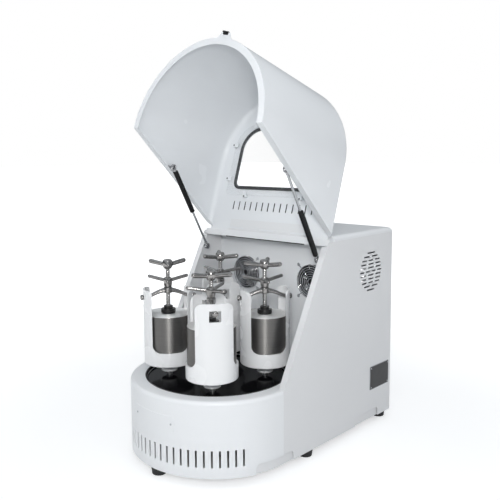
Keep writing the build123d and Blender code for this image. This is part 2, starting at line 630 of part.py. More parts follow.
def clamp_bar():
    """Arched bar that bears up under the roofs of the post holes, with a round head at each end."""
    end = HOLDER_RADIUS + BAR_HEAD_PLAY + BAR_HEAD
    shoulder = HOLDER_RADIUS - 2 * HOLDER_WALL
    middle = (BAR_HUB_RADIUS + shoulder) / 2
    root = BAR_HUB_RADIUS - BAR_EDGE
    low = BAR_Z - BAR_HEIGHT
    root_top = BAR_HUB_TOP - BAR_EDGE
    root_low = BAR_HUB_TOP - BAR_HUB_HEIGHT + BAR_EDGE / 2
    bend_top = BAR_Z + BAR_RISE / 2
    upper = Spline((root, root_top), (middle, bend_top), (shoulder, BAR_Z), tangents=((1, 0), (1, -0.25)))
    lower = Spline((shoulder, low), (middle, bend_top - BAR_HEIGHT), (root, root_low),
                   tangents=((-1, 0.25), (-1, 0)))
    outline = [upper,
               Line((shoulder, BAR_Z), (end, BAR_Z)),
               Line((end, BAR_Z), (end, low)),
               Line((end, low), (shoulder, low)),
               lower,
               Line((root, root_low), (root, root_top))]
    face = Plane.XZ * make_face(Curve() + outline)
    arm = extrude(face, BAR_WIDTH / 2, both=True)
    head = rod_x(BAR_HEAD_RADIUS, end - BAR_HEAD, end, 0, BAR_Z - BAR_HEIGHT / 2)
    arm += chamfer(head.edges().filter_by(GeomType.CIRCLE).sort_by(Axis.X)[-1], BAR_HEAD / 3)
    hub_foot = BAR_HUB_TOP - BAR_HUB_HEIGHT
    bar = rod(BAR_HUB_RADIUS, BAR_HUB_HEIGHT, 0, 0, hub_foot)
    bar = chamfer(bar.edges().group_by(Axis.Z)[0], BAR_EDGE)
    bar += arm + arm.rotate(Axis.Z, 180)
    return bar - rod(SCREW_RADIUS + GAP, 3 * BAR_HUB_HEIGHT, 0, 0, hub_foot - BAR_HUB_HEIGHT)


def star_arm(reach, root_radius, tip_radius, z):
    """Arm that rises and widens a little towards its rounded tip."""
    tilt = math.degrees(math.atan2(ARM_RISE, reach))
    length = reach / math.cos(math.radians(tilt))
    arm = at(0, 0, 0) * Cone(root_radius, tip_radius, length, align=(Align.CENTER, Align.CENTER, Align.MIN))
    arm = chamfer(arm.edges().group_by(Axis.Z)[-1], tip_radius * 0.45)
    return at(0, 0, z) * Rotation(0, 90 - tilt, 0) * arm


def star(hub, reach, root_radius, tip_radius, z):
    for index in range(STAR_ARMS):
        hub += Rotation(0, 0, index * 360 / STAR_ARMS) * star_arm(reach, root_radius, tip_radius, z)
    return hub


LOCK_HUB_RADIUS = 11.5
LOCK_HUB_HEIGHT = 26.5
LOCK_ARM_LEVEL = 16.5            # of the arms' roots over the hub's foot
LOCK_ARM = (4.8, 5.0)            # radius at root and tip
STAR_HUB_RADIUS = 14.0
STAR_HUB_HEIGHT = 26.0
STAR_HUB_EDGE = 5.0
STAR_ARM_LEVEL = 10.0
STAR_ARM = (5.8, 6.4)
SCREW_END = 8.0                  # thinner end of the screw, in the pad
SOCKET_DEPTH = 6.0


def lock_star():
    foot = BAR_HUB_TOP + GAP
    hub = rod(LOCK_HUB_RADIUS, LOCK_HUB_HEIGHT, 0, 0, foot)
    hub = star(hub, LOCK_REACH, *LOCK_ARM, foot + LOCK_ARM_LEVEL)
    return hub - rod(SCREW_RADIUS + GAP, LOCK_HUB_HEIGHT, 0, 0, foot)


def clamp_screw(level):
    """Screw with its large star; the star's foot stands at a level over the bar's hub."""
    foot = PAD_Z + PAD_HEIGHT + PAD_NECK_HEIGHT - SOCKET_DEPTH + GAP
    top = BAR_HUB_TOP + level
    body = rod(SCREW_RADIUS, top - foot - SCREW_END, 0, 0, foot + SCREW_END)
    body += rod(SCREW_RADIUS - 1.0, SCREW_END, 0, 0, foot)
    hub = rod(STAR_HUB_RADIUS, STAR_HUB_HEIGHT, 0, 0, top)
    hub = chamfer(hub.edges().group_by(Axis.Z)[0] + hub.edges().group_by(Axis.Z)[-1], STAR_HUB_EDGE)
    return body + star(hub, STAR_REACH, *STAR_ARM, top + STAR_ARM_LEVEL)


def clamp_pad():
    pad = rod(PAD_RADIUS, PAD_HEIGHT, 0, 0, PAD_Z)
    pad += rod(PAD_NECK_RADIUS, PAD_NECK_HEIGHT, 0, 0, PAD_Z + PAD_HEIGHT)
    neck_top = PAD_Z + PAD_HEIGHT + PAD_NECK_HEIGHT
    return pad - rod(SCREW_RADIUS - 1.0 + GAP, SOCKET_DEPTH, 0, 0, neck_top - SOCKET_DEPTH)


# ---- fans ------------------------------------------------------------------------------------------
FAN_Y = CHAMBER_Y + SHEET
FAN_Z = SHELL_Z + FAN_LEVEL
FAN_HUB = 21.0
FAN_CORNER = 6.0
FAN_BACK = 4.0                   # thickness of the motor plate and its spokes
FAN_SPOKE = 6.0
FAN_PIN = 3.0
FAN_PLAY = 1.0                   # from the rotor to the frame's faces
BLADE = 2.0
BLADE_TWIST = 28.0


def facing_back(x, y):
    """Plane on a fan's axis, with its normal towards the back."""
    return Plane(origin=(x, y, FAN_Z), x_dir=(1, 0, 0), z_dir=(0, 1, 0))


def fan_frame(x):
    body = extrude(facing_back(x, FAN_Y) * RectangleRounded(FAN_SIZE, FAN_SIZE, FAN_CORNER), FAN_DEPTH)
    body -= extrude(facing_back(x, FAN_Y) * Circle(FAN_BORE), FAN_DEPTH)
    rear = FAN_Y + FAN_DEPTH - FAN_BACK
    body += extrude(facing_back(x, rear) * Circle(FAN_HUB), FAN_BACK)
    for angle in (45, 135):
        spoke = Rot(0, 0, angle) * Rectangle(2 * FAN_BORE + SHEET, FAN_SPOKE)
        body += extrude(facing_back(x, rear) * spoke, FAN_BACK)
    return body - extrude(facing_back(x, rear) * Circle(FAN_PIN + RUNNING), FAN_BACK)


def fan_rotor(x):
    depth = FAN_DEPTH - FAN_BACK - 2 * FAN_PLAY
    front = FAN_Y + FAN_PLAY
    rotor = extrude(facing_back(x, front) * Circle(FAN_HUB), depth)
    length = FAN_BORE - FAN_HUB - FAN_PLAY
    section = Pos((FAN_HUB + FAN_BORE) / 2 - 1.5 * FAN_PLAY, 0) * Rectangle(length, BLADE)
    for index in range(FAN_BLADES):
        turn = index * 360 / FAN_BLADES
        lower = facing_back(x, front + FAN_PLAY) * Rot(0, 0, turn)
        upper = facing_back(x, front + depth - FAN_PLAY) * Rot(0, 0, turn + BLADE_TWIST)
        rotor += loft([lower * section, upper * section])
    return rotor + extrude(facing_back(x, front + depth) * Circle(FAN_PIN), FAN_BACK + FAN_PLAY / 2)


GUARD_EYE = 5.5                  # outer radius of each screwed eye
GUARD_SCREW = 2.2
GUARD_EYE_INSET = 9.0            # of each eye, from the fan frame's edges


def fan_guard(x):
    """Concentric wires on two crossed bars, with four screwed eyes."""
    front = CHAMBER_Y - 2 * GUARD_WIRE
    guard = None
    for index in range(GUARD_RINGS):
        radius = FAN_BORE - GUARD_WIRE / 2 - index * GUARD_PITCH
        circle = Circle(radius + GUARD_WIRE / 2) - Circle(radius - GUARD_WIRE / 2)
        wire = extrude(facing_back(x, front) * circle, GUARD_WIRE)
        guard = wire if guard is None else guard + wire
    reach = (FAN_SIZE / 2 - GUARD_EYE_INSET) * math.sqrt(2)
    bar_length = 2 * (reach - (GUARD_EYE + GUARD_SCREW) / 2)
    for angle in (45, 135):
        bar = Rot(0, 0, angle) * Rectangle(bar_length, GUARD_WIRE)
        guard += extrude(facing_back(x, front + GUARD_WIRE) * bar, GUARD_WIRE)
        for side in (-1, 1):
            place = Rot(0, 0, angle) * Pos(side * reach, 0)
            eyelet = place * (Circle(GUARD_EYE) - Circle(GUARD_SCREW))
            guard += extrude(facing_back(x, front + GUARD_WIRE) * eyelet, GUARD_WIRE)
    return guard


# ---- lid, drawn closed and then swung open --------------------------------------------------------
def slope_prism(offset):
    """Everything behind the slope, moved forward by an offset, to cut the hood's rim."""
    run = SLOPE_HEAD_Y - SLOPE_FOOT_Y
    rise = TOP_Z - DECK_Z
    length = math.hypot(run, rise)
    dy = -offset * rise / length
    dz = offset * run / length
    stretch = 0.4
    foot = (SLOPE_FOOT_Y - stretch * run + dy, DECK_Z - stretch * rise + dz)
    head = (SLOPE_HEAD_Y + stretch * run + dy, TOP_Z + stretch * rise + dz)
    return side_profile([foot, (foot[0] + DEPTH, foot[1]), (head[0] + DEPTH, head[1]), head], -WIDTH, WIDTH)


def hood(inset, rim_offset, y_to, edge_radius):
    """Closed volume of the hood, set in from its skin and up from its rim."""
    foot = DECK_Z + LID_GAP + rim_offset
    body = extrude(d_outline(inset, y_to), TOP_Z - inset - foot)
    body = at(0, 0, foot) * body
    rims = body.edges().group_by(Axis.Z)[-1]
    rims = rims.filter_by(GeomType.CIRCLE) + rims.filter_by(Axis.Y)
    body = fillet(rims, edge_radius)
    return body - slope_prism(LID_GAP + rim_offset)


LID_REAR_Y = NOSE_Y + REBATE - 2.0
PULL_TURN = 12.0                 # from the rim's middle towards the right, degrees
PULL_WIDTH = 76.0
PULL_REACH = 15.0
PULL_BEND = 17.0                 # where the tongue's sides bend, in from its ends
PULL_SHOULDER = 27.0


def finger_pull():
    """Tongue on the front rim, to lift the hood by."""
    half = PULL_WIDTH / 2
    start = FRONT_Y + 2 * SHEET
    bend = FRONT_Y - PULL_REACH / 2 + SHEET
    tip = FRONT_Y - PULL_REACH
    bend_x = half - PULL_BEND
    tip_x = half - PULL_SHOULDER
    outline = [Spline((-half, start), (-bend_x, bend), (-tip_x, tip), tangents=((1, 0), (1, 0))),
               Line((-tip_x, tip), (tip_x, tip)),
               Spline((tip_x, tip), (bend_x, bend), (half, start), tangents=((1, 0), (1, 0))),
               Line((half, start), (-half, start))]
    tongue = extrude(make_face(Curve() + outline), SHEET)
    tongue = at(0, 0, DECK_Z + LID_GAP) * tongue
    return tongue.rotate(Axis((0, AXIS_Y, 0), (0, 0, 1)), PULL_TURN)


def window_opening(grow):
    """Plan of the window, grown by a margin."""
    half = WINDOW_HALF + grow
    front = WINDOW_FRONT - grow
    rear = WINDOW_REAR + grow
    plate = at(0, (front + rear) / 2, 0) * Rectangle(2 * half, rear - front)
    corners = plate.vertices().group_by(Axis.Y)
    plate = fillet(corners[0], WINDOW_FRONT_RADIUS + grow)
    return fillet(plate.vertices().group_by(Axis.Y)[-1], WINDOW_REAR_RADIUS + grow)


def lid_shell():
    """Welded hood with a folded rim, a window, a row of vent slots and a finger pull."""
    under = TOP_Z - SHEET
    shell = hood(0, 0, LID_REAR_Y, LID_EDGE_RADIUS)
    shell -= hood(SHEET, SHEET, LID_REAR_Y + SHEET, LID_EDGE_RADIUS - SHEET)
    mouth = extrude(d_outline(RIM_WIDTH, LID_REAR_Y), under - DECK_Z)
    shell -= at(0, 0, DECK_Z) * mouth
    half = R_FRONT - RIM_WIDTH
    shell += block(-half, half, NOSE_Y - REBATE, LID_REAR_Y, under, TOP_Z)
    shell -= at(0, 0, under) * extrude(window_opening(0), SHEET)
    for index in range(LID_SLOTS):
        x = (index - (LID_SLOTS - 1) / 2) * LID_SLOT_PITCH
        half = LID_SLOT_WIDTH / 2
        shell -= block(x - half, x + half, LID_SLOT_FRONT, LID_SLOT_REAR, under, TOP_Z)
    return shell + finger_pull()


def window_gasket():
    band = extrude(window_opening(GASKET_BAND), GASKET_THICKNESS)
    band -= extrude(window_opening(0), GASKET_THICKNESS)
    return at(0, 0, TOP_Z - SHEET - GASKET_THICKNESS) * band


PANE_Z = TOP_Z - SHEET - GASKET_THICKNESS - PANE_THICKNESS


def pane_outline():
    plate = at(0, (PANE_FRONT + PANE_REAR) / 2, 0) * Rectangle(2 * PANE_HALF, PANE_REAR - PANE_FRONT)
    plate = fillet(plate.vertices().group_by(Axis.Y)[0], PANE_FRONT_RADIUS)
    return fillet(plate.vertices().group_by(Axis.Y)[-1], WINDOW_REAR_RADIUS)


def window_pane():
    return at(0, 0, PANE_Z) * extrude(pane_outline(), PANE_THICKNESS)


CLIPS = [(None, -203.0, 0), (None, -96.0, 0), (105.0, None, 90), (113.0, None, -90)]   # x, y, turn
CLIP_FOOT = 6.0
CLIP_TOE = 14.0
CLIP_WIDTH = 14.0
CLIP_PLAY = 0.5                  # from the pane's edge to the foot
CLIP_SHEET = 3.0


def window_clip(x, y, turn):
    """Stepped tab: its foot stands on the sheet beside the pane, its toe holds the pane."""
    height = GASKET_THICKNESS + PANE_THICKNESS
    half = CLIP_WIDTH / 2
    foot = block(0, CLIP_FOOT, -half, half, 0, height)
    toe = block(-CLIP_TOE, CLIP_FOOT, -half, half, -CLIP_SHEET, 0)
    clip = foot + toe
    return at(x, y, PANE_Z) * Rotation(0, 0, turn) * clip


def window_clips():
    clips = []
    for x, y, turn in CLIPS:
        edge_x = PANE_HALF + CLIP_PLAY if x is None else x
        edge_y = {0: y, 90: PANE_REAR + CLIP_PLAY, -90: PANE_FRONT - CLIP_PLAY}[turn]
        clip = window_clip(edge_x, edge_y, turn)
        clips += [clip, mirror(clip, Plane.YZ)]
    return Compound(children=clips)


# ---- hinge ------------------------------------------------------------------------------------------
LEAF_START = 34.0                # lid leaf's front edge, before the pin
LEAF_END = 10.0
WEB_DROP = (8.0, 1.0)            # of the base leaf's webs, under the pin
BASE_LEAF_DROP = (15.0, 6.0)


def knuckles(on_lid):
    """Every second barrel of the hinge."""
    length = 2 * HINGE_HALF / KNUCKLES
    barrels = []
    for index in range(KNUCKLES):
        if (index % 2 == 1) == on_lid:
            start = -HINGE_HALF + index * length
            barrels.append(rod_x(KNUCKLE_RADIUS, start + GAP, start + length - GAP, HINGE_Y, HINGE_Z))
    return barrels


def hinge_base_leaf():
    """Leaf on the inside of the tower's lip, with its barrels and the pin."""
    lip = NOSE_Y + SHEET
    leaf = None
    for barrel in knuckles(False):
        box = barrel.bounding_box()
        web = block(box.min.X, box.max.X, lip, HINGE_Y, HINGE_Z - WEB_DROP[0], HINGE_Z - WEB_DROP[1])
        piece = barrel + web
        leaf = piece if leaf is None else leaf + piece
    leaf += block(-HINGE_HALF, HINGE_HALF, lip, lip + SHEET,
                  HINGE_Z - BASE_LEAF_DROP[0], HINGE_Z - BASE_LEAF_DROP[1])
    leaf -= rod_x(PIN_RADIUS, -HINGE_HALF, HINGE_HALF, HINGE_Y, HINGE_Z)
    pin = rod_x(PIN_RADIUS, -HINGE_HALF, HINGE_HALF, HINGE_Y, HINGE_Z)
    return Compound(children=[leaf, pin])


def hinge_lid_leaf():
    """Leaf under the lid's top sheet, with its barrels, drawn closed."""
    top = TOP_Z - SHEET
    start = HINGE_Y - LEAF_START
    leaf = block(-HINGE_HALF, HINGE_HALF, start, HINGE_Y - LEAF_END, top - SHEET, top)
    for barrel in knuckles(True):
        box = barrel.bounding_box()
        web = block(box.min.X, box.max.X, start, HINGE_Y, top - SHEET, top)
        leaf += barrel + web
    return leaf - rod_x(PIN_RADIUS + RUNNING, -HINGE_HALF, HINGE_HALF, HINGE_Y, HINGE_Z)


# ---- gas struts --------------------------------------------------------------------------------------
BASE_PIVOT = (STRUT_BASE[0], SHELL_Z + STRUT_BASE[1])
CLOSED_PIVOT = (STRUT_LID[0], SHELL_Z + STRUT_LID[1])
TUBE_START = 13.0                # of the tube, from its eye's middle
TUBE_EDGE = 1.5
NECK_END = 15.0                  # of the eye's neck, from its middle
NECK_WALL = 1.0                  # of the neck, over the rod
ROD_GRIP = 20.0                  # of the rod, left in the tube when extended
BORE_PLAY = 6.0                  # from the closed rod's end to the bore's floor


def open_pivot():
    """Lid pivot after the lid has swung open."""
    angle = math.radians(-LID_ANGLE)
    y = CLOSED_PIVOT[0] - HINGE_Y
    z = CLOSED_PIVOT[1] - HINGE_Z
    return (HINGE_Y + y * math.cos(angle) - z * math.sin(angle),
            HINGE_Z + y * math.sin(angle) + z * math.cos(angle))


LID_PIVOT = open_pivot()
STRUT_LENGTH = math.hypot(LID_PIVOT[0] - BASE_PIVOT[0], LID_PIVOT[1] - BASE_PIVOT[1])
STRUT_CLOSED = math.hypot(CLOSED_PIVOT[0] - BASE_PIVOT[0], CLOSED_PIVOT[1] - BASE_PIVOT[1])
STROKE = STRUT_LENGTH - STRUT_CLOSED
STUD_END = STRUT_X + EYE_WIDTH / 2 + 2 * GAP


def on_strut(x, from_base):
    """Plane at a strut's pivot, with its normal along the strut."""
    dy = (LID_PIVOT[0] - BASE_PIVOT[0]) / STRUT_LENGTH
    dz = (LID_PIVOT[1] - BASE_PIVOT[1]) / STRUT_LENGTH
    if from_base:
        return Plane(origin=(x, *BASE_PIVOT), x_dir=(1, 0, 0), z_dir=(0, dy, dz))
    return Plane(origin=(x, *LID_PIVOT), x_dir=(1, 0, 0), z_dir=(0, -dy, -dz))


def strut_eye(plane):
    """End fitting of a strut: a flat eye with a neck."""
    eye = extrude(Plane(origin=plane.origin, x_dir=plane.y_dir, z_dir=(1, 0, 0)) * Circle(EYE_RADIUS),
                  EYE_WIDTH / 2, both=True)
    neck = extrude(plane * Circle(ROD_RADIUS + NECK_WALL), NECK_END)
    return eye + neck


def strut_tube(x, from_base):
    plane = on_strut(x, from_base)
    body = extrude(plane.offset(TUBE_START) * Circle(TUBE_RADIUS), TUBE_LENGTH - TUBE_START)
    body = chamfer(body.edges().filter_by(GeomType.CIRCLE), TUBE_EDGE)
    body += strut_eye(plane)
    bore_start = STRUT_CLOSED - (STRUT_LENGTH - TUBE_LENGTH) - ROD_GRIP - BORE_PLAY
    return body - extrude(plane.offset(bore_start) * Circle(ROD_RADIUS + 2 * RUNNING), TUBE_LENGTH)


def strut_rod(x, from_base):
    plane = on_strut(x, from_base)
    length = STRUT_LENGTH - TUBE_LENGTH + ROD_GRIP
    return extrude(plane * Circle(ROD_RADIUS), length) + strut_eye(plane)


def studs(pivot):
    """Ball studs on the inside of both side walls."""
    stud = rod_x(STUD_RADIUS, STUD_END, INNER_X, *pivot)
    stud += rod_x(STUD_FLANGE_RADIUS, INNER_X - STUD_FLANGE, INNER_X, *pivot)
    return both_sides(stud)


# ---- all the pieces ------------------------------------------------------------------------------------
right_panel = side_panel()
nodes["front_shell"] = front_shell()
nodes["right_side_panel"] = right_panel
nodes["left_side_panel"] = mirror(right_panel, Plane.YZ)
nodes["tower_top"] = tower_top()
nodes["rear_panel"] = rear_panel()
nodes["deck_plate"] = deck_plate()
nodes["chamber_wall"] = chamber_wall()
nodes["base_plate"] = base_plate()
nodes["feet"] = feet()
nodes["mains_inlet"] = mains_inlet()
nodes["bearing_housing"] = bearing_housing()
nodes["main_shaft"] = main_shaft()
nodes["drive_motor"] = drive_motor()
nodes["motor_pulley"] = motor_pulley()
nodes["drive_belt"] = drive_belt()
nodes["turntable_disc"] = turntable_disc()

for place in STATIONS:
    home = at(*station_place(place), 0) * Rotation(0, 0, STATIONS[place] + HOLDER_PHASE)
    nodes["planet_drive_" + place] = planet_drive(place)
    nodes["holder_" + place] = home * holder()
    nodes["clamp_bar_" + place] = home * clamp_bar()
    nodes["clamp_pad_" + place] = home * clamp_pad()
    spot = at(*station_place(place), 0)
    nodes["jar_" + place] = spot * jar()
    nodes["clamp_screw_" + place] = spot * Rotation(0, 0, STAR_TURN[place]) * clamp_screw(STAR_LEVEL[place])
    nodes["lock_star_" + place] = spot * Rotation(0, 0, LOCK_TURN[place]) * lock_star()

nodes["fan_frames"] = Compound(children=[fan_frame(-FAN_X), fan_frame(FAN_X)])
nodes["fan_guards"] = Compound(children=[fan_guard(-FAN_X), fan_guard(FAN_X)])
nodes["left_fan_rotor"] = fan_rotor(-FAN_X)
nodes["right_fan_rotor"] = fan_rotor(FAN_X)

nodes["hinge_base_leaf"] = hinge_base_leaf()
nodes["strut_base_studs"] = studs(BASE_PIVOT)
nodes["left_strut_rod"] = strut_rod(-STRUT_X, True)
nodes["left_strut_tube"] = strut_tube(-STRUT_X, False)
nodes["right_strut_tube"] = strut_tube(STRUT_X, True)
nodes["right_strut_rod"] = strut_rod(STRUT_X, False)

nodes["lid_shell"] = swing(lid_shell())
nodes["window_gasket"] = swing(window_gasket())
nodes["window_pane"] = swing(window_pane())
nodes["window_clips"] = swing(window_clips())
nodes["hinge_lid_leaf"] = swing(hinge_lid_leaf())
nodes["strut_lid_studs"] = swing(studs(CLOSED_PIVOT))

for name, shape in nodes.items():
    export_step(shape, f"parts/{name}.step")
print(len(nodes), "nodes; strut", round(STRUT_LENGTH, 1), round(STRUT_CLOSED, 1), "open pivot", LID_PIVOT)
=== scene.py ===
import math

import bpy
from mathutils import Matrix, Vector


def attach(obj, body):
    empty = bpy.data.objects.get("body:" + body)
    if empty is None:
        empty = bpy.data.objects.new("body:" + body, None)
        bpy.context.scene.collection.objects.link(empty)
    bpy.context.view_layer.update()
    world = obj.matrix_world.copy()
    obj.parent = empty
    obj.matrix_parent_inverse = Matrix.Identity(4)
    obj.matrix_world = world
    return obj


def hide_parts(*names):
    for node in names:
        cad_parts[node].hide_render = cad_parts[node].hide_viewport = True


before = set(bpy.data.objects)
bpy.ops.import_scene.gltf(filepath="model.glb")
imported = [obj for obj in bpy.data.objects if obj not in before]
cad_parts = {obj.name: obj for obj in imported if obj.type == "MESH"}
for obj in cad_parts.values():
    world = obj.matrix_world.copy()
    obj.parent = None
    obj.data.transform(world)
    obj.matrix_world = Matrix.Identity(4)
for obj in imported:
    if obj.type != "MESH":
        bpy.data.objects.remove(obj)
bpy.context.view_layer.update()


# ---- The studio ---------------------------------------------------------------------
# The machine stands on a white sheet. Broad lamps overhead and before it light it softly, and
# a small one just over the camera gives the edges of its shadows. Metal reflects a pale
# ceiling over dark walls. The camera stands off its right front corner, above the deck.
SHEET_SIZE = 60.0
CAMERA_PLACE = (1.28325, -1.43272, 0.81826)
CAMERA_TURN = (math.radians(83.27), math.radians(0.538), math.radians(43.26))
LENS = 49.32
FRAME_SHIFT = (0.0345, -0.0398)
LAMPS = [
    # name, size, power, place, what it is aimed at, whether metal shows it
    ("overhead_bank", 2.6, 12.0, (0.6, 0.2, 3.8), (0.0, 0.0, 0.4), True),
    ("camera_lamp", 0.24, 14.5, (1.30, -1.45, 1.06), (0.0, -0.1, 0.45), True),
    ("front_bank", 1.6, 23.0, (1.6, -3.0, 2.4), (0.0, -0.1, 0.45), False),
    ("left_bank", 2.4, 28.0, (-2.6, -2.3, 2.0), (0.0, -0.1, 0.5), False),
    ("right_fill", 2.0, 6.0, (3.4, -0.6, 1.8), (0.0, 0.1, 0.4), False),
    ("back_fill", 2.4, 44.0, (0.7, 3.8, 1.1), (0.0, 0.2, 0.5), False),
]

camera = bpy.data.objects.new("camera", bpy.data.cameras.new("camera"))
camera.location = CAMERA_PLACE
camera.rotation_euler = CAMERA_TURN
camera.data.lens = LENS
camera.data.shift_x, camera.data.shift_y = FRAME_SHIFT
bpy.context.scene.collection.objects.link(camera)
bpy.context.scene.camera = camera
bpy.context.scene.view_settings.view_transform = "Standard"

for name, size, power, place, aim, mirrored in LAMPS:
    lamp = bpy.data.objects.new(name, bpy.data.lights.new(name, "AREA"))
    lamp.data.size = size
    lamp.data.energy = power
    lamp.visible_glossy = mirrored
    lamp.location = place
    lamp.rotation_euler = (Vector(aim) - Vector(place)).to_track_quat("-Z", "Y").to_euler()
    bpy.context.scene.collection.objects.link(lamp)


class Wire:
    """A socket of a shader, with arithmetic that adds the nodes for it."""

    def __init__(self, tree, socket):
        self.tree = tree
        self.socket = socket

    def node(self, kind, settings, sockets, output=0):
        """Adds a node: its settings first, then a value or a Wire for each socket."""
        made = self.tree.nodes.new("ShaderNode" + kind)
        for name, value in settings.items():
            setattr(made, name, value)
        for name, value in sockets.items():
            if isinstance(value, Wire):
                self.tree.links.new(value.socket, made.inputs[name])
            else:
                made.inputs[name].default_value = value
        return Wire(self.tree, made.outputs[output])

    def maths(self, operation, first, second):
        return self.node("Math", {"operation": operation}, {0: first, 1: second})

    def __add__(self, other):
        return self.maths("ADD", self, other)

    def __sub__(self, other):
        return self.maths("SUBTRACT", self, other)

    def __rsub__(self, other):
        return self.maths("SUBTRACT", other, self)

    def __mul__(self, other):
        return self.maths("MULTIPLY", self, other)

    def __pow__(self, other):
        return self.maths("POWER", self, other)

    def __gt__(self, other):
        return self.maths("GREATER_THAN", self, other)

    __radd__ = __add__
    __rmul__ = __mul__


world = bpy.data.worlds.new("white_room")
bpy.context.scene.world = world
world.use_nodes = True
room = Wire(world.node_tree, None)
ray = "LightPath"
seen = room.node(ray, {}, {}, "Is Camera Ray") + room.node(ray, {}, {}, "Is Transmission Ray") > 0.5
shine = room.node(ray, {}, {}, "Is Glossy Ray")
ROOM_LIGHT = 0.37
ROOM_COLOUR = (0.90, 0.95, 1.0, 1.0)
WALL_SHINE, CEILING_SHINE = 0.16, 0.95
WALL_HEAD, CEILING_FOOT = 0.18, 0.50     # how steeply a reflection leaves the wall and meets the ceiling
heading = room.node("TexCoord", {}, {}, "Generated")
height = room.node("SeparateXYZ", {}, {"Vector": heading}, 2)
ceiling = room.node("MapRange", {"interpolation_type": "SMOOTHSTEP"},
                    {0: height, 1: WALL_HEAD, 2: CEILING_FOOT, 3: WALL_SHINE, 4: CEILING_SHINE})
strength = ROOM_LIGHT + seen * (1.0 - ROOM_LIGHT) + shine * (ceiling - ROOM_LIGHT)
tint = room.node("Mix", {"data_type": "RGBA"}, {0: seen, 6: ROOM_COLOUR, 7: (1.0, 1.0, 1.0, 1.0)}, 2)
background = world.node_tree.nodes["Background"]
world.node_tree.links.new(strength.socket, background.inputs["Strength"])
world.node_tree.links.new(tint.socket, background.inputs["Color"])

SHEET_COLOUR = (0.62, 0.63, 0.64, 1.0)
NEAR_GLOW, FAR_GLOW = 0.50, 1.0
NEAR, FAR = 0.5, 2.6                     # metres from the machine
sheet_mesh = bpy.data.meshes.new("studio_sheet")
half = SHEET_SIZE / 2
corners = [(-half, -half, 0), (half, -half, 0), (half, half, 0), (-half, half, 0)]
sheet_mesh.from_pydata(corners, [], [(0, 1, 2, 3)])
studio_sheet = bpy.data.objects.new("studio_sheet", sheet_mesh)
bpy.context.scene.collection.objects.link(studio_sheet)
sheet_material = bpy.data.materials.new("studio_sheet")
sheet_material.use_nodes = True
sheet_shader = sheet_material.node_tree.nodes["Principled BSDF"]
sheet_shader.inputs["Base Color"].default_value = SHEET_COLOUR
sheet_shader.inputs["Roughness"].default_value = 0.9
sheet_shader.inputs["Emission Color"].default_value = (1.0, 1.0, 1.0, 1.0)
paper = Wire(sheet_material.node_tree, None)
paper_seen = paper.node(ray, {}, {}, "Is Camera Ray") + paper.node(ray, {}, {}, "Is Glossy Ray")
paper_seen = paper_seen + paper.node(ray, {}, {}, "Is Transmission Ray") > 0.5
spot = paper.node("TexCoord", {}, {}, "Object")
away = paper.node("VectorMath", {"operation": "LENGTH"}, {"Vector": spot}, "Value")
glow = paper.node("MapRange", {"interpolation_type": "SMOOTHSTEP"},
                  {0: away, 1: NEAR, 2: FAR, 3: NEAR_GLOW, 4: FAR_GLOW})
sheet_material.node_tree.links.new((paper_seen * glow).socket, sheet_shader.inputs["Emission Strength"])
sheet_mesh.materials.append(sheet_material)


# ---- Casing --------------------------------------------------------------------------
# Folded 2 mm sheet steel: a round front, two side panels with a folded rim up the slope,
# the tower's top and the deck. All of it is powder coated in a cool white with a faint
# orange peel, and its cut edges are slightly broken. The side, rear and base panels take a
# greyer copy of that white: painted shade for the dimmer light that falls on them.
MM = 0.001
WHITE = (0.82, 0.835, 0.85)
# greyer copy of the casing white: painted shade on the side, rear and base panels
SHADED_SIDE_WHITE = (0.76, 0.765, 0.775)
CASING_EDGE = 0.5 * MM
SHARP_ANGLE = 35.0                       # an edge over this many degrees is broken
WELD_REACH = 0.005 * MM


class Finish:
    """A surface finish: its material, its shader, and the place that its grain follows."""

    def __init__(self, name, fixed):
        self.material = bpy.data.materials.new(name)
        self.material.use_nodes = True
        self.tree = self.material.node_tree
        self.shader = self.tree.nodes["Principled BSDF"]
        for socket, value in fixed.items():
            self.shader.inputs[socket].default_value = value
        self.place = Wire(self.tree, self.tree.nodes.new("ShaderNodeTexCoord").outputs["Object"])

    def noise(self, scale, detail=2.0):
        """Noise about 0.5, of that many grains a metre."""
        mapped = self.place.node("VectorMath", {"operation": "MULTIPLY"}, {0: self.place, 1: (scale,) * 3})
        return self.place.node("TexNoise", {}, {"Vector": mapped, "Scale": 1.0, "Detail": detail})

    def colour(self, share, low, high):
        """Base colour that runs from low to high with a share."""
        ends = {0: share, 6: (*low, 1.0), 7: (*high, 1.0)}
        mixed = self.place.node("Mix", {"data_type": "RGBA"}, ends, 2)
        self.tree.links.new(mixed.socket, self.shader.inputs["Base Color"])

    def feed(self, socket, wire):
        self.tree.links.new(wire.socket, self.shader.inputs[socket])

    def bump(self, height, distance, strength=1.0):
        sockets = {"Strength": strength, "Distance": distance, "Height": height}
        self.feed("Normal", self.place.node("Bump", {}, sockets))


def powder_coat(name, colour, roughness=0.34):
    """Baked powder coat: a faint orange peel, slightly uneven gloss, thin dust."""
    coat = Finish(name, {"Specular IOR Level": 0.5})
    dust = coat.noise(5.0, 2.0)
    coat.colour(dust, tuple(0.98 * part for part in colour), tuple(1.01 * part for part in colour))
    coat.feed("Roughness", coat.noise(12.0, 2.0) * 0.06 + (roughness - 0.03))
    coat.bump(coat.noise(700.0, 1.0), 0.02 * MM)
    return coat.material


def dress(node, material, edge=CASING_EDGE):
    """Gives a CAD node its finish, and breaks its sharp edges."""
    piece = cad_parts[node]
    piece.data.materials.clear()
    piece.data.materials.append(material)
    if edge:
        weld = piece.modifiers.new("weld", "WELD")
        weld.merge_threshold = WELD_REACH
        soften(piece, edge)
    return piece


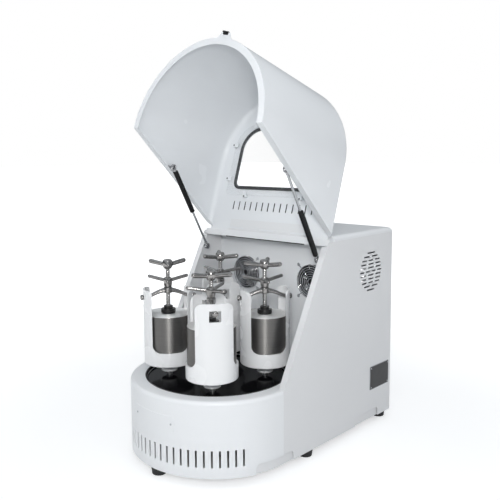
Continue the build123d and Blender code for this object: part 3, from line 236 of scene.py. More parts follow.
def soften(piece, width, segments=2):
    """Rounds the sharp edges and keeps the flats flat."""
    bevel = piece.modifiers.new("edges", "BEVEL")
    bevel.width = width
    bevel.segments = segments
    bevel.limit_method = "ANGLE"
    bevel.angle_limit = math.radians(SHARP_ANGLE)
    bevel.use_clamp_overlap = True
    piece.modifiers.new("flats", "WEIGHTED_NORMAL").keep_sharp = True


casing_coat = powder_coat("casing_coat", WHITE)
# the same white paint in a greyer copy, painted shade
side_coat = powder_coat("side_coat", SHADED_SIDE_WHITE, 0.40)
for node in ("front_shell", "tower_top", "deck_plate"):
    dress(node, casing_coat)
for node in ("right_side_panel", "left_side_panel", "rear_panel"):
    dress(node, side_coat)
dress("chamber_wall", casing_coat)
dress("base_plate", side_coat)


# ---- Plates on the casing ---------------------------------------------------------------
# A curved cover of white sheet closes the control opening in the round front, held by two
# pan-head screws. A black anodised plate with a bright edge sits low on the right panel,
# held by four. Larger screws of the same kind hold the rear panel round its edge.
SHELL_RADIUS = 235.0
AXIS_Y = -140.0
COVER_FOOT, COVER_TOP = 131.0, 170.0
COVER_SPREAD = 17.3
COVER_SHEET = 1.2
COVER_STEPS = 24
BEDDING = 0.2                            # that a plate is let into the casing
COVER_SCREW_SPREAD, COVER_SCREW_Z = 15.5, 149.6
COVER_SCREW_RADIUS = 2.6
PLATE_REAR, PLATE_FRONT = 363.0, 260.0
PLATE_FOOT, PLATE_TOP = 108.0, 179.0
PLATE_SHEET, PLATE_EDGE = 1.5, 1.6
EDGE_DROP = 0.3                          # from the plate's face to its bright edge
PLATE_CORNER = 3.0
PLATE_SCREW_INSET = 6.5
PLATE_SCREW_RADIUS = 2.0
PANEL_SCREW_RADIUS = 4.0
REAR_Y = 375.0
REAR_SCREWS = [(x, z) for x in (-221.0, 0.0, 221.0) for z in (34.0, 300.0, 558.0) if x or z != 300.0]


def joined(*parts):
    """Several parts, each a list of points and a list of faces, as one."""
    points, faces = [], []
    for more, their_faces in parts:
        start = len(points)
        points += more
        faces += [tuple(index + start for index in face) for face in their_faces]
    return points, faces


def moved(part, matrix):
    """The part after a move or a turn."""
    return [matrix @ Vector(point) for point in part[0]], part[1]


def stand(place, direction=(0.0, 0.0, 1.0)):
    """Takes a part that stands on z = 0 to a place, with its top along a direction."""
    turn = Vector(direction).to_track_quat("Z", "Y").to_matrix().to_4x4()
    return Matrix.Translation(place) @ turn


def ringed(rows, closed=False):
    """Skin over rings of equally many points. Open ends get flat caps."""
    count = len(rows[0])
    points = [point for row in rows for point in row]
    faces = []
    for row in range(len(rows) if closed else len(rows) - 1):
        start, following = row * count, (row + 1) % len(rows) * count
        for index in range(count):
            after = (index + 1) % count
            faces.append((start + index, start + after, following + after, following + index))
    if not closed:
        faces.append(tuple(range(count))[::-1])
        faces.append(tuple(range(len(points) - count, len(points))))
    return points, faces


def make(name, part, material):
    """A piece from a part that is drawn in millimetres."""
    points, faces = part
    mesh = bpy.data.meshes.new(name)
    mesh.from_pydata([Vector(point) * MM for point in points], [], faces)
    mesh.polygons.foreach_set("use_smooth", [True] * len(faces))
    mesh.materials.append(material)
    piece = bpy.data.objects.new(name, mesh)
    bpy.context.scene.collection.objects.link(piece)
    return piece


def hang(piece, body, slot, *nodes):
    """Fixes a piece to its body, and lets it stand for CAD nodes. Its slot is not used."""
    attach(piece, body)
    if nodes:
        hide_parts(*nodes)
    return piece


def screw_head(radius):
    """Pan head with a cross recess, standing on z = 0."""
    reach, half = 0.55 * radius, 0.2 * radius
    steps = [math.radians(90 * quarter + step) for quarter in range(4) for step in (-45, -32, -20, 0, 20, 32)]

    def circle(wide, z):
        return [(wide * math.cos(turn), wide * math.sin(turn), z) for turn in steps]

    def cross(scale, z):
        rim = []
        for turn in steps:
            folded = (turn + math.pi / 4) % (math.pi / 2) - math.pi / 4
            wide = min(reach / math.cos(folded), half / max(abs(math.sin(folded)), 0.01))
            rim.append((scale * wide * math.cos(turn), scale * wide * math.sin(turn), z))
        return rim

    domed = [(1.0, 0.0), (1.0, 0.22), (0.94, 0.38), (0.8, 0.5), (0.68, 0.55)]
    rows = [circle(radius * wide, radius * z) for wide, z in domed]
    return ringed(rows + [cross(1.0, 0.57 * radius), cross(0.85, 0.2 * radius)])


def bright_steel(name, tone, roughness, grain=260.0):
    """Plated or bare steel: slightly patchy in tone and gloss, with fine scratches."""
    steel = Finish(name, {"Metallic": 1.0})
    patches = steel.noise(grain / 8, 3.0)
    steel.colour(patches, tuple(0.86 * part for part in tone), tuple(1.08 * part for part in tone))
    steel.feed("Roughness", steel.noise(grain, 3.0) * 0.16 + (roughness - 0.08))
    steel.bump(steel.noise(4 * grain, 2.0), 0.02 * MM)
    return steel.material


zinc = bright_steel("screw_zinc", (0.50, 0.51, 0.53), 0.30, 900.0)

cover_rows = []
for step in range(COVER_STEPS + 1):
    turn = math.radians(-90 - COVER_SPREAD + 2 * COVER_SPREAD * step / COVER_STEPS)
    outline = [(SHELL_RADIUS - BEDDING, COVER_FOOT), (SHELL_RADIUS + COVER_SHEET, COVER_FOOT),
               (SHELL_RADIUS + COVER_SHEET, COVER_TOP), (SHELL_RADIUS - BEDDING, COVER_TOP)]
    cover_rows.append([(wide * math.cos(turn), AXIS_Y + wide * math.sin(turn), z) for wide, z in outline])
cover_plate = make("front_cover_plate", ringed(cover_rows), casing_coat)
soften(cover_plate, 0.35 * MM)
hang(cover_plate, "base", "powder_coat")

cover_screws = []
for side in (-1, 1):
    turn = math.radians(-90 + side * COVER_SCREW_SPREAD)
    out = (math.cos(turn), math.sin(turn), 0.0)
    face = SHELL_RADIUS + COVER_SHEET
    place = (face * out[0], AXIS_Y + face * out[1], COVER_SCREW_Z)
    cover_screws.append(moved(screw_head(COVER_SCREW_RADIUS), stand(place, out)))
hang(make("cover_plate_screws", joined(*cover_screws), zinc), "base", "stud_steel")


def rounded_plate(y_from, y_to, z_from, z_to, corner, steps=4):
    """Outline of an upright plate with round corners, as (y, z) pairs."""
    outline = []
    centres = [(y_to - corner, z_to - corner), (y_from + corner, z_to - corner),
               (y_from + corner, z_from + corner), (y_to - corner, z_from + corner)]
    for quarter, (y, z) in enumerate(centres):
        for step in range(steps + 1):
            turn = math.radians(90 * quarter + 90 * step / steps)
            outline.append((y + corner * math.cos(turn), z + corner * math.sin(turn)))
    return outline


anodised = Finish("anodised_black", {"Metallic": 0.35, "Specular IOR Level": 0.5})
anodised.colour(anodised.noise(60.0, 3.0), (0.014, 0.014, 0.016), (0.026, 0.026, 0.029))
anodised.feed("Roughness", anodised.noise(300.0, 2.0) * 0.12 + 0.3)
anodised.bump(anodised.noise(1400.0, 1.0), 0.02 * MM)
edging = bright_steel("plate_edge", (0.42, 0.43, 0.45), 0.35, 900.0)
for name, inset, lift, material in (("rating_plate_edge", 0.0, PLATE_SHEET - EDGE_DROP, edging),
                                    ("rating_plate", PLATE_EDGE, PLATE_SHEET, anodised.material)):
    outline = rounded_plate(PLATE_FRONT + inset, PLATE_REAR - inset, PLATE_FOOT + inset, PLATE_TOP - inset,
                            PLATE_CORNER - inset / 2)
    rows = [[(SHELL_RADIUS + x, y, z) for y, z in outline] for x in (-BEDDING, lift)]
    plate = make(name, ringed(rows), material)
    soften(plate, 0.25 * MM)
    hang(plate, "base", "black_plastic" if inset else "stud_steel")
plate_screws = []
for y in (PLATE_FRONT + PLATE_SCREW_INSET, PLATE_REAR - PLATE_SCREW_INSET):
    for z in (PLATE_FOOT + PLATE_SCREW_INSET, PLATE_TOP - PLATE_SCREW_INSET):
        place = (SHELL_RADIUS + PLATE_SHEET, y, z)
        plate_screws.append(moved(screw_head(PLATE_SCREW_RADIUS), stand(place, (1, 0, 0))))
hang(make("rating_plate_screws", joined(*plate_screws), zinc), "base", "stud_steel")

panel_screw = screw_head(PANEL_SCREW_RADIUS)
rear_screws = [moved(panel_screw, stand((x, REAR_Y, z), (0, 1, 0))) for x, z in REAR_SCREWS]
hang(make("rear_panel_screws", joined(*rear_screws), zinc), "base", "stud_steel")

inlet_plastic = Finish("inlet_plastic", {"Specular IOR Level": 0.4})
inlet_plastic.colour(inlet_plastic.noise(80.0), (0.018, 0.018, 0.019), (0.03, 0.03, 0.031))
inlet_plastic.feed("Roughness", inlet_plastic.noise(400.0, 2.0) * 0.15 + 0.42)
inlet_plastic.bump(inlet_plastic.noise(2200.0, 1.0), 0.03 * MM)
dress("mains_inlet", inlet_plastic.material, 0.4 * MM)


# ---- Feet --------------------------------------------------------------------------------
# Five moulded black rubber feet, each a tapered disc with a ribbed flank and a screw sunk in
# its underside. They stand under the base plate.
FOOT_SCREW_RADIUS, FOOT_SCREW_Z = 5.0, 5.2
FOOT_PLACES = [(0.0, -354.0), (213.0, -22.0), (-213.0, -22.0), (208.0, 353.0), (-208.0, 353.0)]
FOOT_PROFILE = [  # radius, height, ease of the corner
    (7.0, 5.0, 0.0), (7.0, 0.6, 0.4), (8.5, 0.0, 0.6), (18.0, 0.0, 1.6), (19.0, 9.0, 0.5), (18.2, 10.0, 0.5),
    (19.3, 11.0, 0.5), (18.6, 12.0, 0.5), (19.7, 13.0, 0.5), (20.0, 20.0, 0.8), (10.0, 20.0, 0.0)]


def eased(corners, steps=3):
    """Profile of (radius, height) pairs from corners that are cut back by an ease and rounded."""
    profile = []
    for index, (wide, z, ease) in enumerate(corners):
        corner = Vector((wide, z))
        if not ease or index in (0, len(corners) - 1):
            profile.append((wide, z))
            continue
        before = (Vector(corners[index - 1][:2]) - corner).normalized() * ease + corner
        after = (Vector(corners[index + 1][:2]) - corner).normalized() * ease + corner
        for step in range(steps + 1):
            share = step / steps
            curve = (1 - share) ** 2 * before + 2 * share * (1 - share) * corner + share ** 2 * after
            profile.append((curve.x, curve.y))
    return profile


def turned(profile, segments=64, closed=False):
    """A part turned about Z."""
    turns = [2 * math.pi * index / segments for index in range(segments)]
    rows = [[(wide * math.cos(turn), wide * math.sin(turn), z) for turn in turns] for wide, z in profile]
    return ringed(rows, closed)


def flatten(piece):
    """Keeps the flats flat beside rounded corners."""
    piece.modifiers.new("flats", "WEIGHTED_NORMAL").weight = 60
    return piece


def soft_black(name, tone, roughness, grain):
    """Moulded rubber or plastic: almost black, dull, with a fine skin."""
    rubber = Finish(name, {"Specular IOR Level": 0.35})
    low, high = tuple(0.7 * part for part in tone), tuple(1.5 * part for part in tone)
    rubber.colour(rubber.noise(45.0, 3.0), low, high)
    rubber.feed("Roughness", rubber.noise(grain, 2.0) * 0.2 + (roughness - 0.1))
    rubber.bump(rubber.noise(grain * 5, 2.0), 0.05 * MM)
    return rubber.material


foot_rubber = soft_black("foot_rubber", (0.020, 0.020, 0.021), 0.62, 400.0)
foot = turned(eased(FOOT_PROFILE), 48)
feet = make("rubber_feet", joined(*[moved(foot, stand((x, y, 0))) for x, y in FOOT_PLACES]), foot_rubber)
hang(flatten(feet), "base", "foot_rubber", "feet")
foot_screw = screw_head(FOOT_SCREW_RADIUS)
sunk = [moved(foot_screw, stand((x, y, FOOT_SCREW_Z), (0, 0, -1))) for x, y in FOOT_PLACES]
hang(make("feet_screws", joined(*sunk), zinc), "base", "stud_steel")


# ---- Drive in the base ---------------------------------------------------------------------
# Under the deck stand the motor, the belt with its two pulleys and the bearing housing with
# the fixed sun gear. They are machined castings, turned steel and rubber, and seldom seen.
cast_iron = Finish("machined_casting", {"Metallic": 0.6})
cast_iron.colour(cast_iron.noise(40.0, 4.0), (0.20, 0.20, 0.21), (0.33, 0.33, 0.34))
cast_iron.feed("Roughness", cast_iron.noise(260.0, 3.0) * 0.3 + 0.35)
cast_iron.bump(cast_iron.noise(900.0, 3.0), 0.08 * MM)
motor_paint = powder_coat("motor_paint", (0.10, 0.115, 0.135), 0.42)
belt_rubber = soft_black("belt_rubber", (0.022, 0.022, 0.022), 0.7, 300.0)
gear_steel = bright_steel("gear_steel", (0.46, 0.465, 0.47), 0.32, 500.0)
dress("bearing_housing", cast_iron.material, 0.4 * MM)
dress("drive_motor", motor_paint, 0.4 * MM)
dress("drive_belt", belt_rubber, 0.3 * MM)
dress("main_shaft", gear_steel, 0.3 * MM)
dress("motor_pulley", gear_steel, 0.3 * MM)


# ---- Turntable -------------------------------------------------------------------------------
# The disc is turned steel under a mirror-bright black finish with fine turning marks. It spins
# in the deck's well, whose edge has a thin black rubber trim; the trim also stands for the
# shadow in the gap round the disc, so part of its black is painted shadow.
TABLE_RIM = 193.0
DECK_Z = 214.0
TRIM_FOOT, TRIM_TOP = DECK_Z - 7.0, DECK_Z + 1.0
TRIM_INNER, TRIM_MIDDLE, TRIM_OUTER = TABLE_RIM - 1.6, TABLE_RIM + 0.4, TABLE_RIM + 2.2
disc_black = Finish("mirror_black", {"Specular IOR Level": 0.08})
disc_black.colour(disc_black.noise(6.0, 3.0), (0.003, 0.003, 0.0035), (0.005, 0.005, 0.006))


def turned_marks(finish, centre, scale):
    """Noise that runs in rings about an upright axis, as a lathe tool leaves it."""
    apart = finish.place.node("VectorMath", {"operation": "SUBTRACT"}, {0: finish.place, 1: (*centre, 0.0)})
    x = apart.node("SeparateXYZ", {}, {"Vector": apart}, 0)
    y = apart.node("SeparateXYZ", {}, {"Vector": apart}, 1)
    z = apart.node("SeparateXYZ", {}, {"Vector": apart}, 2)
    wide = (x * x + y * y) ** 0.5
    rings = apart.node("CombineXYZ", {}, {"X": wide * scale, "Y": x * (scale * 0.01), "Z": z * scale})
    return apart.node("TexNoise", {}, {"Vector": rings, "Scale": 1.0, "Detail": 2.0})


swirl = turned_marks(disc_black, (0.0, AXIS_Y * MM), 900.0)
disc_black.feed("Roughness", swirl * 0.06 + 0.07)
disc_black.bump(swirl, 0.004 * MM)
dress("turntable_disc", disc_black.material, 0.4 * MM)

trim_rubber = soft_black("trim_rubber", (0.007, 0.007, 0.008), 0.45, 500.0)
trim_profile = eased([(TRIM_MIDDLE, TRIM_FOOT, 0.0), (TRIM_INNER, TRIM_FOOT, 0.5),
                      (TRIM_INNER, TRIM_TOP, 0.9), (TRIM_OUTER, TRIM_TOP, 0.9),
                      (TRIM_OUTER, DECK_Z + 0.1, 0.0), (TRIM_MIDDLE, DECK_Z + 0.1, 0.0)])
# black rubber trim, partly painted shadow of the gap round the disc
well_trim = make("well_trim", moved(turned(trim_profile, 160, True), stand((0, AXIS_Y, 0))), trim_rubber)
hang(flatten(well_trim), "base", "seal_rubber")


# ---- Jar holders ------------------------------------------------------------------------------
# Each station is a white powder-coated cup, turned from thick tube. Two tall posts rise from
# it, with a square hole near the top of each, and a collar under it clamps the planet shaft.
STATIONS = {"left": 219.2, "front": 309.2, "right": 39.2, "rear": 129.2}
PITCH_RADIUS = 131.25
HOLDER_PHASE = 14.0
HOLDER_WHITE = (0.83, 0.835, 0.84)
holder_coat = powder_coat("holder_coat", HOLDER_WHITE, 0.27)
for name in STATIONS:
    dress("holder_" + name, holder_coat, 0.9 * MM)
    dress("planet_drive_" + name, gear_steel, 0.3 * MM)


def station_place(name, z):
    """The middle of a station, at that height."""
    turn = math.radians(STATIONS[name])
    return PITCH_RADIUS * math.cos(turn), AXIS_Y + PITCH_RADIUS * math.sin(turn), z


def at_stations(name, mesh, turns, body, slot, *nodes, lifts=None):
    """Puts the same piece on every station, turned and lifted as that station needs."""
    for station, turn in turns.items():
        piece = bpy.data.objects.new(name + "_" + station, mesh)
        bpy.context.scene.collection.objects.link(piece)
        piece.location = Vector(station_place(station, lifts[station] if lifts else 0.0)) * MM
        piece.rotation_euler = (0.0, 0.0, math.radians(turn))
        flatten(piece)
        hang(piece, body + "_" + station, slot, *[node + "_" + station for node in nodes])


# ---- Milling jars ------------------------------------------------------------------------------
# Turned and brushed stainless steel: a thick pot whose cover sits on it with a fine joint.
# The brush runs round, so a lamp shows as one upright streak. The cover's top face is painted
# near white: a painted reflection of the bright ceiling over it.
JAR_FOOT, JAR_SEAM, JAR_TOP = 250.0, 364.0, 378.0
JAR_PROFILE = [
    (10.0, JAR_FOOT, 0.0), (62.5, JAR_FOOT, 3.0), (62.5, JAR_SEAM - 0.5, 0.3), (62.1, JAR_SEAM, 0.2),
    (62.5, JAR_SEAM + 0.5, 0.3), (62.5, JAR_TOP, 1.6), (22.0, JAR_TOP, 0.3), (21.6, JAR_TOP - 0.4, 0.3),
    (10.0, JAR_TOP - 0.4, 0.0)]
jar_steel = Finish("brushed_jar", {"Metallic": 1.0, "Anisotropic": 0.9, "Anisotropic Rotation": 0.25})
brush = turned_marks(jar_steel, (0.0, 0.0), 2600.0)
PAINTED_TOP_DEPTH = 0.9                         # how far under its top the cover counts as face
BRUSH_SHARE, PAINTED_TOP_SHARE = 0.10, 0.90
upright = jar_steel.place.node("SeparateXYZ", {}, {"Vector": jar_steel.place}, 2)
# painted reflection: the cover's top face gets a near-white base colour
face = upright > (JAR_TOP - PAINTED_TOP_DEPTH) * MM
brush_and_painted_top = brush * BRUSH_SHARE + face * PAINTED_TOP_SHARE
jar_steel.colour(brush_and_painted_top, (0.16, 0.154, 0.147), (0.90, 0.89, 0.87))
jar_steel.feed("Roughness", brush * 0.06 + 0.42)
jar_steel.bump(brush, 0.004 * MM)
jar_piece = make("milling_jar", turned(eased(JAR_PROFILE), 96), jar_steel.material)
at_stations("milling_jar", jar_piece.data, dict.fromkeys(STATIONS, 0.0), "station", "jar_steel", "jar")
bpy.data.objects.remove(jar_piece)


# ---- Clamp pads --------------------------------------------------------------------------------
# A black oxide pad presses on each jar's cover. It is turned, with a neck that takes the
# screw's end.
PAD_PROFILE = [
    (5.6, 397.9, 0.0), (12.4, 398.0, 1.2), (12.4, 390.0, 0.6), (19.9, 390.0, 1.6), (19.9, 380.5, 0.3),
    (19.2, 380.0, 0.3), (19.2, 378.0, 0.5), (5.6, 378.0, 0.0)]
oxide = Finish("black_oxide", {"Metallic": 0.3, "Specular IOR Level": 0.5})
oxide.colour(oxide.noise(120.0, 3.0), (0.008, 0.008, 0.008), (0.020, 0.019, 0.019))
oxide.feed("Roughness", oxide.noise(500.0, 2.0) * 0.14 + 0.24)
oxide.bump(oxide.noise(1500.0, 2.0), 0.02 * MM)
pad_piece = make("clamp_pad", turned(eased(PAD_PROFILE), 64), oxide.material)
at_stations("pressure_pad", pad_piece.data, dict.fromkeys(STATIONS, 0.0), "pad", "pad_black", "clamp_pad")
bpy.data.objects.remove(pad_piece)


# ---- Clamp bars ----------------------------------------------------------------------------------
# Each bar is a polished steel casting: a hub with two arched arms, which pass through the
# holes of the posts and end in round heads that keep them there.
BAR_HUB_FOOT, BAR_HUB_TOP = 433.0, 449.0
BAR_SECTIONS = [  # distance from the middle, height, half height, half width
    (0.0, 440.5, 6.3, 8.5), (10.0, 440.4, 6.4, 8.3), (20.0, 438.2, 6.0, 7.8), (32.0, 434.0, 5.6, 7.2),
    (46.0, 427.4, 5.4, 7.0), (57.0, 423.4, 5.6, 7.2), (63.0, 422.9, 5.8, 7.4), (67.5, 422.9, 5.8, 7.4)]
BAR_HEAD = [(68.2, 0.82), (69.2, 0.97), (71.5, 1.0), (73.6, 0.9), (75.0, 0.66), (75.6, 0.3)]
BAR_HEAD_RADIUS = 7.8
CAST_VOXEL = 1.15
CAST_SMOOTHING = 7


def cast(name, part, material):
    """Grows overlapping closed parts into one casting with soft fillets."""
    raw = make(name, part, material)
    grow = raw.modifiers.new("grow", "REMESH")
    grow.mode = "VOXEL"
    grow.voxel_size = CAST_VOXEL * MM
    grow.use_smooth_shade = True
    fettle = raw.modifiers.new("fettle", "SMOOTH")
    fettle.factor = 0.5
    fettle.iterations = CAST_SMOOTHING
    bpy.context.view_layer.update()
    mesh = bpy.data.meshes.new_from_object(raw.evaluated_get(bpy.context.evaluated_depsgraph_get()))
    bpy.data.objects.remove(raw)
    return mesh


def oval(x, z, high, wide, count=24):
    """Upright oval ring across the X axis."""
    turns = [2 * math.pi * index / count for index in range(count)]
    return [(x, wide * math.cos(turn), z + high * math.sin(turn)) for turn in turns]


cast_steel = Finish("polished_casting", {"Metallic": 1.0})
cast_steel.colour(cast_steel.noise(70.0, 4.0), (0.20, 0.194, 0.188), (0.34, 0.33, 0.322))
cast_steel.feed("Roughness", cast_steel.noise(160.0, 4.0) * 0.20 + 0.12)
cast_steel.bump(cast_steel.noise(210.0, 3.0), 0.35 * MM, 0.35)

arm = [oval(x, z, high, wide) for x, z, high, wide in BAR_SECTIONS]
head_z = BAR_SECTIONS[-1][1]
arm += [oval(x, head_z, BAR_HEAD_RADIUS * share, BAR_HEAD_RADIUS * share) for x, share in BAR_HEAD]
arm = ringed(arm)
bar_hub = turned(eased([(3.0, BAR_HUB_FOOT, 0.0), (11.5, BAR_HUB_FOOT, 2.0), (11.5, BAR_HUB_TOP, 1.2),
                        (3.0, BAR_HUB_TOP, 0.0)]), 40)
half_turn = Matrix.Rotation(math.pi, 4, "Z")
bar_mesh = cast("clamp_bar", joined(bar_hub, arm, moved(arm, half_turn)), cast_steel.material)
bar_turns = {name: angle + HOLDER_PHASE for name, angle in STATIONS.items()}
at_stations("arched_bar", bar_mesh, bar_turns, "station", "cast_steel", "clamp_bar")


# ---- Clamp screws and their stars -------------------------------------------------------------------
# A turned screw with a coarse thread presses the pad down. Its cast star has three round arms
# that rise a little and thicken towards rounded ends. A smaller star locks the screw
# against the bar.
SCREW_FOOT, SCREW_TOP = 392.3, 500.0
THREAD_PITCH = 4.0
THREAD_RADIUS, THREAD_ROOT = 5.95, 5.0
THREAD_FORM = [(0.0, 0.0), (0.22, 1.0), (0.5, 1.0), (0.72, 0.0)]  # share of the pitch, share of the depth
THREAD_STEPS = 20
CORE_PLAY, CORE_TIP = 0.02, 0.2          # that the core stands proud of the thread's root and its foot
STAR_FOOT, STAR_TOP = 499.0, 525.0
STAR_ARM_Z = 509.0
STAR_REACH = 58.0
LOCK_FOOT, LOCK_TOP = 449.3, 475.8
LOCK_ARM_Z = 465.8
LOCK_REACH = 64.0
ARM_RISE = 9.0
STAR_TURNS = {"left": -40.0, "front": 21.0, "right": 121.0, "rear": 138.0}
STAR_DROPS = {"left": 0.0, "front": -6.0, "right": 0.0, "rear": 0.0}   # the front one is turned down
LOCK_TURNS = {"left": -42.0, "front": 105.0, "right": -40.0, "rear": 62.0}


def star_arm(reach, root, tip, z):
    """Round arm with a domed end, which rises from the hub."""
    slope = math.atan2(ARM_RISE, reach)
    length = reach / math.cos(slope)
    profile = [(root, 0.0), (root, 0.25 * length), (0.5 * (root + tip), 0.6 * length)]
    profile.append((tip, length - 1.1 * tip))
    profile += [(tip * math.cos(math.radians(turn)), length - tip * (1 - math.sin(math.radians(turn))))
                for turn in (15, 35, 55, 75)]
    away = (math.cos(slope), 0.0, math.sin(slope))
    return moved(turned(profile, 24), stand((0, 0, z), away))


def star(hub, reach, root, tip, z):
    """Hub with three arms."""
    first = star_arm(reach, root, tip, z)
    arms = [moved(first, Matrix.Rotation(math.radians(turn), 4, "Z")) for turn in (0, 120, 240)]
    return joined(turned(eased(hub), 48), *arms)


star_hub = [(3.0, STAR_FOOT, 0.0), (9.0, STAR_FOOT, 1.0), (13.5, STAR_FOOT + 7.0, 3.0),
            (14.0, STAR_FOOT + 16.0, 3.0), (11.5, STAR_TOP - 1.5, 1.8), (6.5, STAR_TOP, 1.0),
            (3.0, STAR_TOP, 0.0)]
star_mesh = cast("star", star(star_hub, STAR_REACH, 5.8, 6.4, STAR_ARM_Z), cast_steel.material)
at_stations("screw_star", star_mesh, STAR_TURNS, "screw", "cast_steel", "clamp_screw", lifts=STAR_DROPS)

lock_hub = [(3.0, LOCK_FOOT, 0.0), (9.8, LOCK_FOOT, 0.8), (11.5, LOCK_FOOT + 8.0, 3.0),
            (11.5, LOCK_TOP - 5.0, 3.0), (9.0, LOCK_TOP, 1.0), (3.0, LOCK_TOP, 0.0)]
lock_mesh = cast("lock", star(lock_hub, LOCK_REACH, 4.9, 4.9, LOCK_ARM_Z), cast_steel.material)
at_stations("locking_star", lock_mesh, LOCK_TURNS, "lock", "cast_steel", "lock_star")

thread_rows = []
turn_count = (SCREW_TOP - SCREW_FOOT) / THREAD_PITCH
for step in range(int(turn_count * THREAD_STEPS)):
    turn = 2 * math.pi * step / THREAD_STEPS
    for along, out in THREAD_FORM:
        wide = THREAD_ROOT + out * (THREAD_RADIUS - THREAD_ROOT)
        z = SCREW_FOOT + (step / THREAD_STEPS + along) * THREAD_PITCH
        thread_rows.append((wide * math.cos(turn), wide * math.sin(turn), min(z, SCREW_TOP)))
form = len(THREAD_FORM)
thread_faces = []
for step in range(len(thread_rows) // form - 1):
    for index in range(form):
        low = step * form + index
        high = low + 1 if index < form - 1 else low + 1 + (THREAD_STEPS - 1) * form
        if high + form < len(thread_rows):
            thread_faces.append((low, low + form, high + form, high))
core_radius = THREAD_ROOT + CORE_PLAY
core = turned([(core_radius, SCREW_FOOT - CORE_TIP), (core_radius, SCREW_TOP)], THREAD_STEPS)
thread_steel = bright_steel("thread_steel", (0.42, 0.41, 0.40), 0.22, 600.0)
thread_piece = make("clamp_thread", joined((thread_rows, thread_faces), core), thread_steel)
at_stations("clamp_thread", thread_piece.data, STAR_TURNS, "screw", "cast_steel", "clamp_screw")
bpy.data.objects.remove(thread_piece)


# ---- Fans -----------------------------------------------------------------------------------------
# Two black plastic axial fans sit behind the chamber's back wall. A guard of bright chromed
# wire, rings on two crossed bars, is screwed over each.
FAN_X, FAN_Z = 125.0, 440.0
WALL_FACE = 122.0
GUARD_RINGS = [49.0, 42.5, 36.0, 29.5, 23.0, 16.5, 10.0]
GUARD_WIRE = 1.25
GUARD_EYE = 5.2
GUARD_REACH = 65.0
RING_STANDOFF, BAR_STANDOFF = 3.6, 1.5   # from the wall, in wire radii
FAN_SCREW_RADIUS = 3.6
EYE_SCREW_LIFT = 0.9                     # of a screw's head, over the eye's middle
fan_plastic = soft_black("fan_plastic", (0.008, 0.008, 0.009), 0.45, 500.0)
for node in ("fan_frames", "left_fan_rotor", "right_fan_rotor"):
    dress(node, fan_plastic, 0.3 * MM)
chrome = bright_steel("chromed_wire", (0.74, 0.75, 0.77), 0.16, 500.0)


def wire_ring(radius, wire, x, y, z, segments=72):
    """Ring of round wire in the plane of the wall."""
    around = [2 * math.pi * index / 10 for index in range(10)]
    profile = [(radius + wire * math.cos(turn), wire * math.sin(turn)) for turn in around]
    return moved(turned(profile, segments, True), stand((x, y, z), (0, -1, 0)))


guards, fan_screws = [], []
for x in (-FAN_X, FAN_X):
    front = WALL_FACE - RING_STANDOFF * GUARD_WIRE
    guards += [wire_ring(radius, GUARD_WIRE, x, front, FAN_Z) for radius in GUARD_RINGS]
    behind = WALL_FACE - BAR_STANDOFF * GUARD_WIRE
    for quarter in range(4):
        turn = math.radians(45 + 90 * quarter)
        out = Vector((math.cos(turn), 0.0, math.sin(turn)))
        start = Vector((x, behind, FAN_Z)) + out * (GUARD_RINGS[-1] - GUARD_WIRE)
        length = GUARD_REACH - GUARD_EYE - GUARD_RINGS[-1] + 2 * GUARD_WIRE
        bar = turned([(GUARD_WIRE, 0.0), (GUARD_WIRE, length)], 10)
        guards.append(moved(bar, stand(start, out)))
        eye = Vector((x, behind, FAN_Z)) + out * GUARD_REACH
        guards.append(wire_ring(GUARD_EYE - GUARD_WIRE, GUARD_WIRE, *eye, 24))
        seat = eye + Vector((0, -EYE_SCREW_LIFT, 0))
        fan_screws.append(moved(screw_head(FAN_SCREW_RADIUS), stand(seat, (0, -1, 0))))
hang(make("wire_guards", joined(*guards), chrome), "base", "chrome_wire", "fan_guards")
hang(make("guard_screws", joined(*fan_screws), zinc), "base", "stud_steel")


# ---- Hood ------------------------------------------------------------------------------------------
# The hood is one welded shell of 2 mm sheet, powder coated white inside and out, with a
# folded rim. A rubber catch sits on its finger pull, and a thin black strip in its vent slots
# paints the shade that shows through them.
HINGE_Y, HINGE_Z = 62.0, 577.0
OPEN_ANGLE = 108.0
hinge_place = Matrix.Translation((0, HINGE_Y, HINGE_Z))
OPENED = hinge_place @ Matrix.Rotation(math.radians(-OPEN_ANGLE), 4, "X") @ hinge_place.inverted()
hood_coat = powder_coat("hood_coat", (0.83, 0.85, 0.87), 0.26)
dress("lid_shell", hood_coat, 0.5 * MM)


def brick(x_from, x_to, y_from, y_to, z_from, z_to):
    """Box between places, for a small pressed or moulded part that is bevelled afterwards."""
    around = [(x_from, y_from), (x_to, y_from), (x_to, y_to), (x_from, y_to)]
    return ringed([[(x, y, z) for x, y in around] for z in (z_from, z_to)])


PULL_TURN = 12.0
PULL_TIP = -390.0
RIM_Z = 215.5
CATCH_HALF, TONGUE_HALF = 9.0, 5.0
catch = joined(brick(-CATCH_HALF, CATCH_HALF, PULL_TIP - 2.2, PULL_TIP + 7, RIM_Z - 2.2, RIM_Z + 4.2),
               brick(-TONGUE_HALF, TONGUE_HALF, PULL_TIP - 0.5, PULL_TIP + 3.5, RIM_Z - 9.0, RIM_Z))
pull_axis = Matrix.Translation((0, AXIS_Y, 0))
pull_way = pull_axis @ Matrix.Rotation(math.radians(PULL_TURN), 4, "Z") @ pull_axis.inverted()
catch_piece = make("hood_catch", moved(catch, OPENED @ pull_way), trim_rubber)
soften(catch_piece, 0.9 * MM, 3)
hang(catch_piece, "lid", "seal_rubber")

VENT_HALF = 151.0
VENT_FRONT, VENT_REAR = -28.4, -1.6
VENT_SHADE_FOOT, VENT_SHADE_TOP = 582.6, 583.3
# a black strip in the vent slots: painted shade for the shadowed tower top seen through them
vent_shade_black = soft_black("vent_painted_shade", (0.008, 0.008, 0.009), 0.8, 900.0)
vent_shade_strip = brick(-VENT_HALF, VENT_HALF, VENT_FRONT, VENT_REAR, VENT_SHADE_FOOT, VENT_SHADE_TOP)
hang(make("vent_painted_shade", moved(vent_shade_strip, OPENED), vent_shade_black), "lid", "seal_rubber")


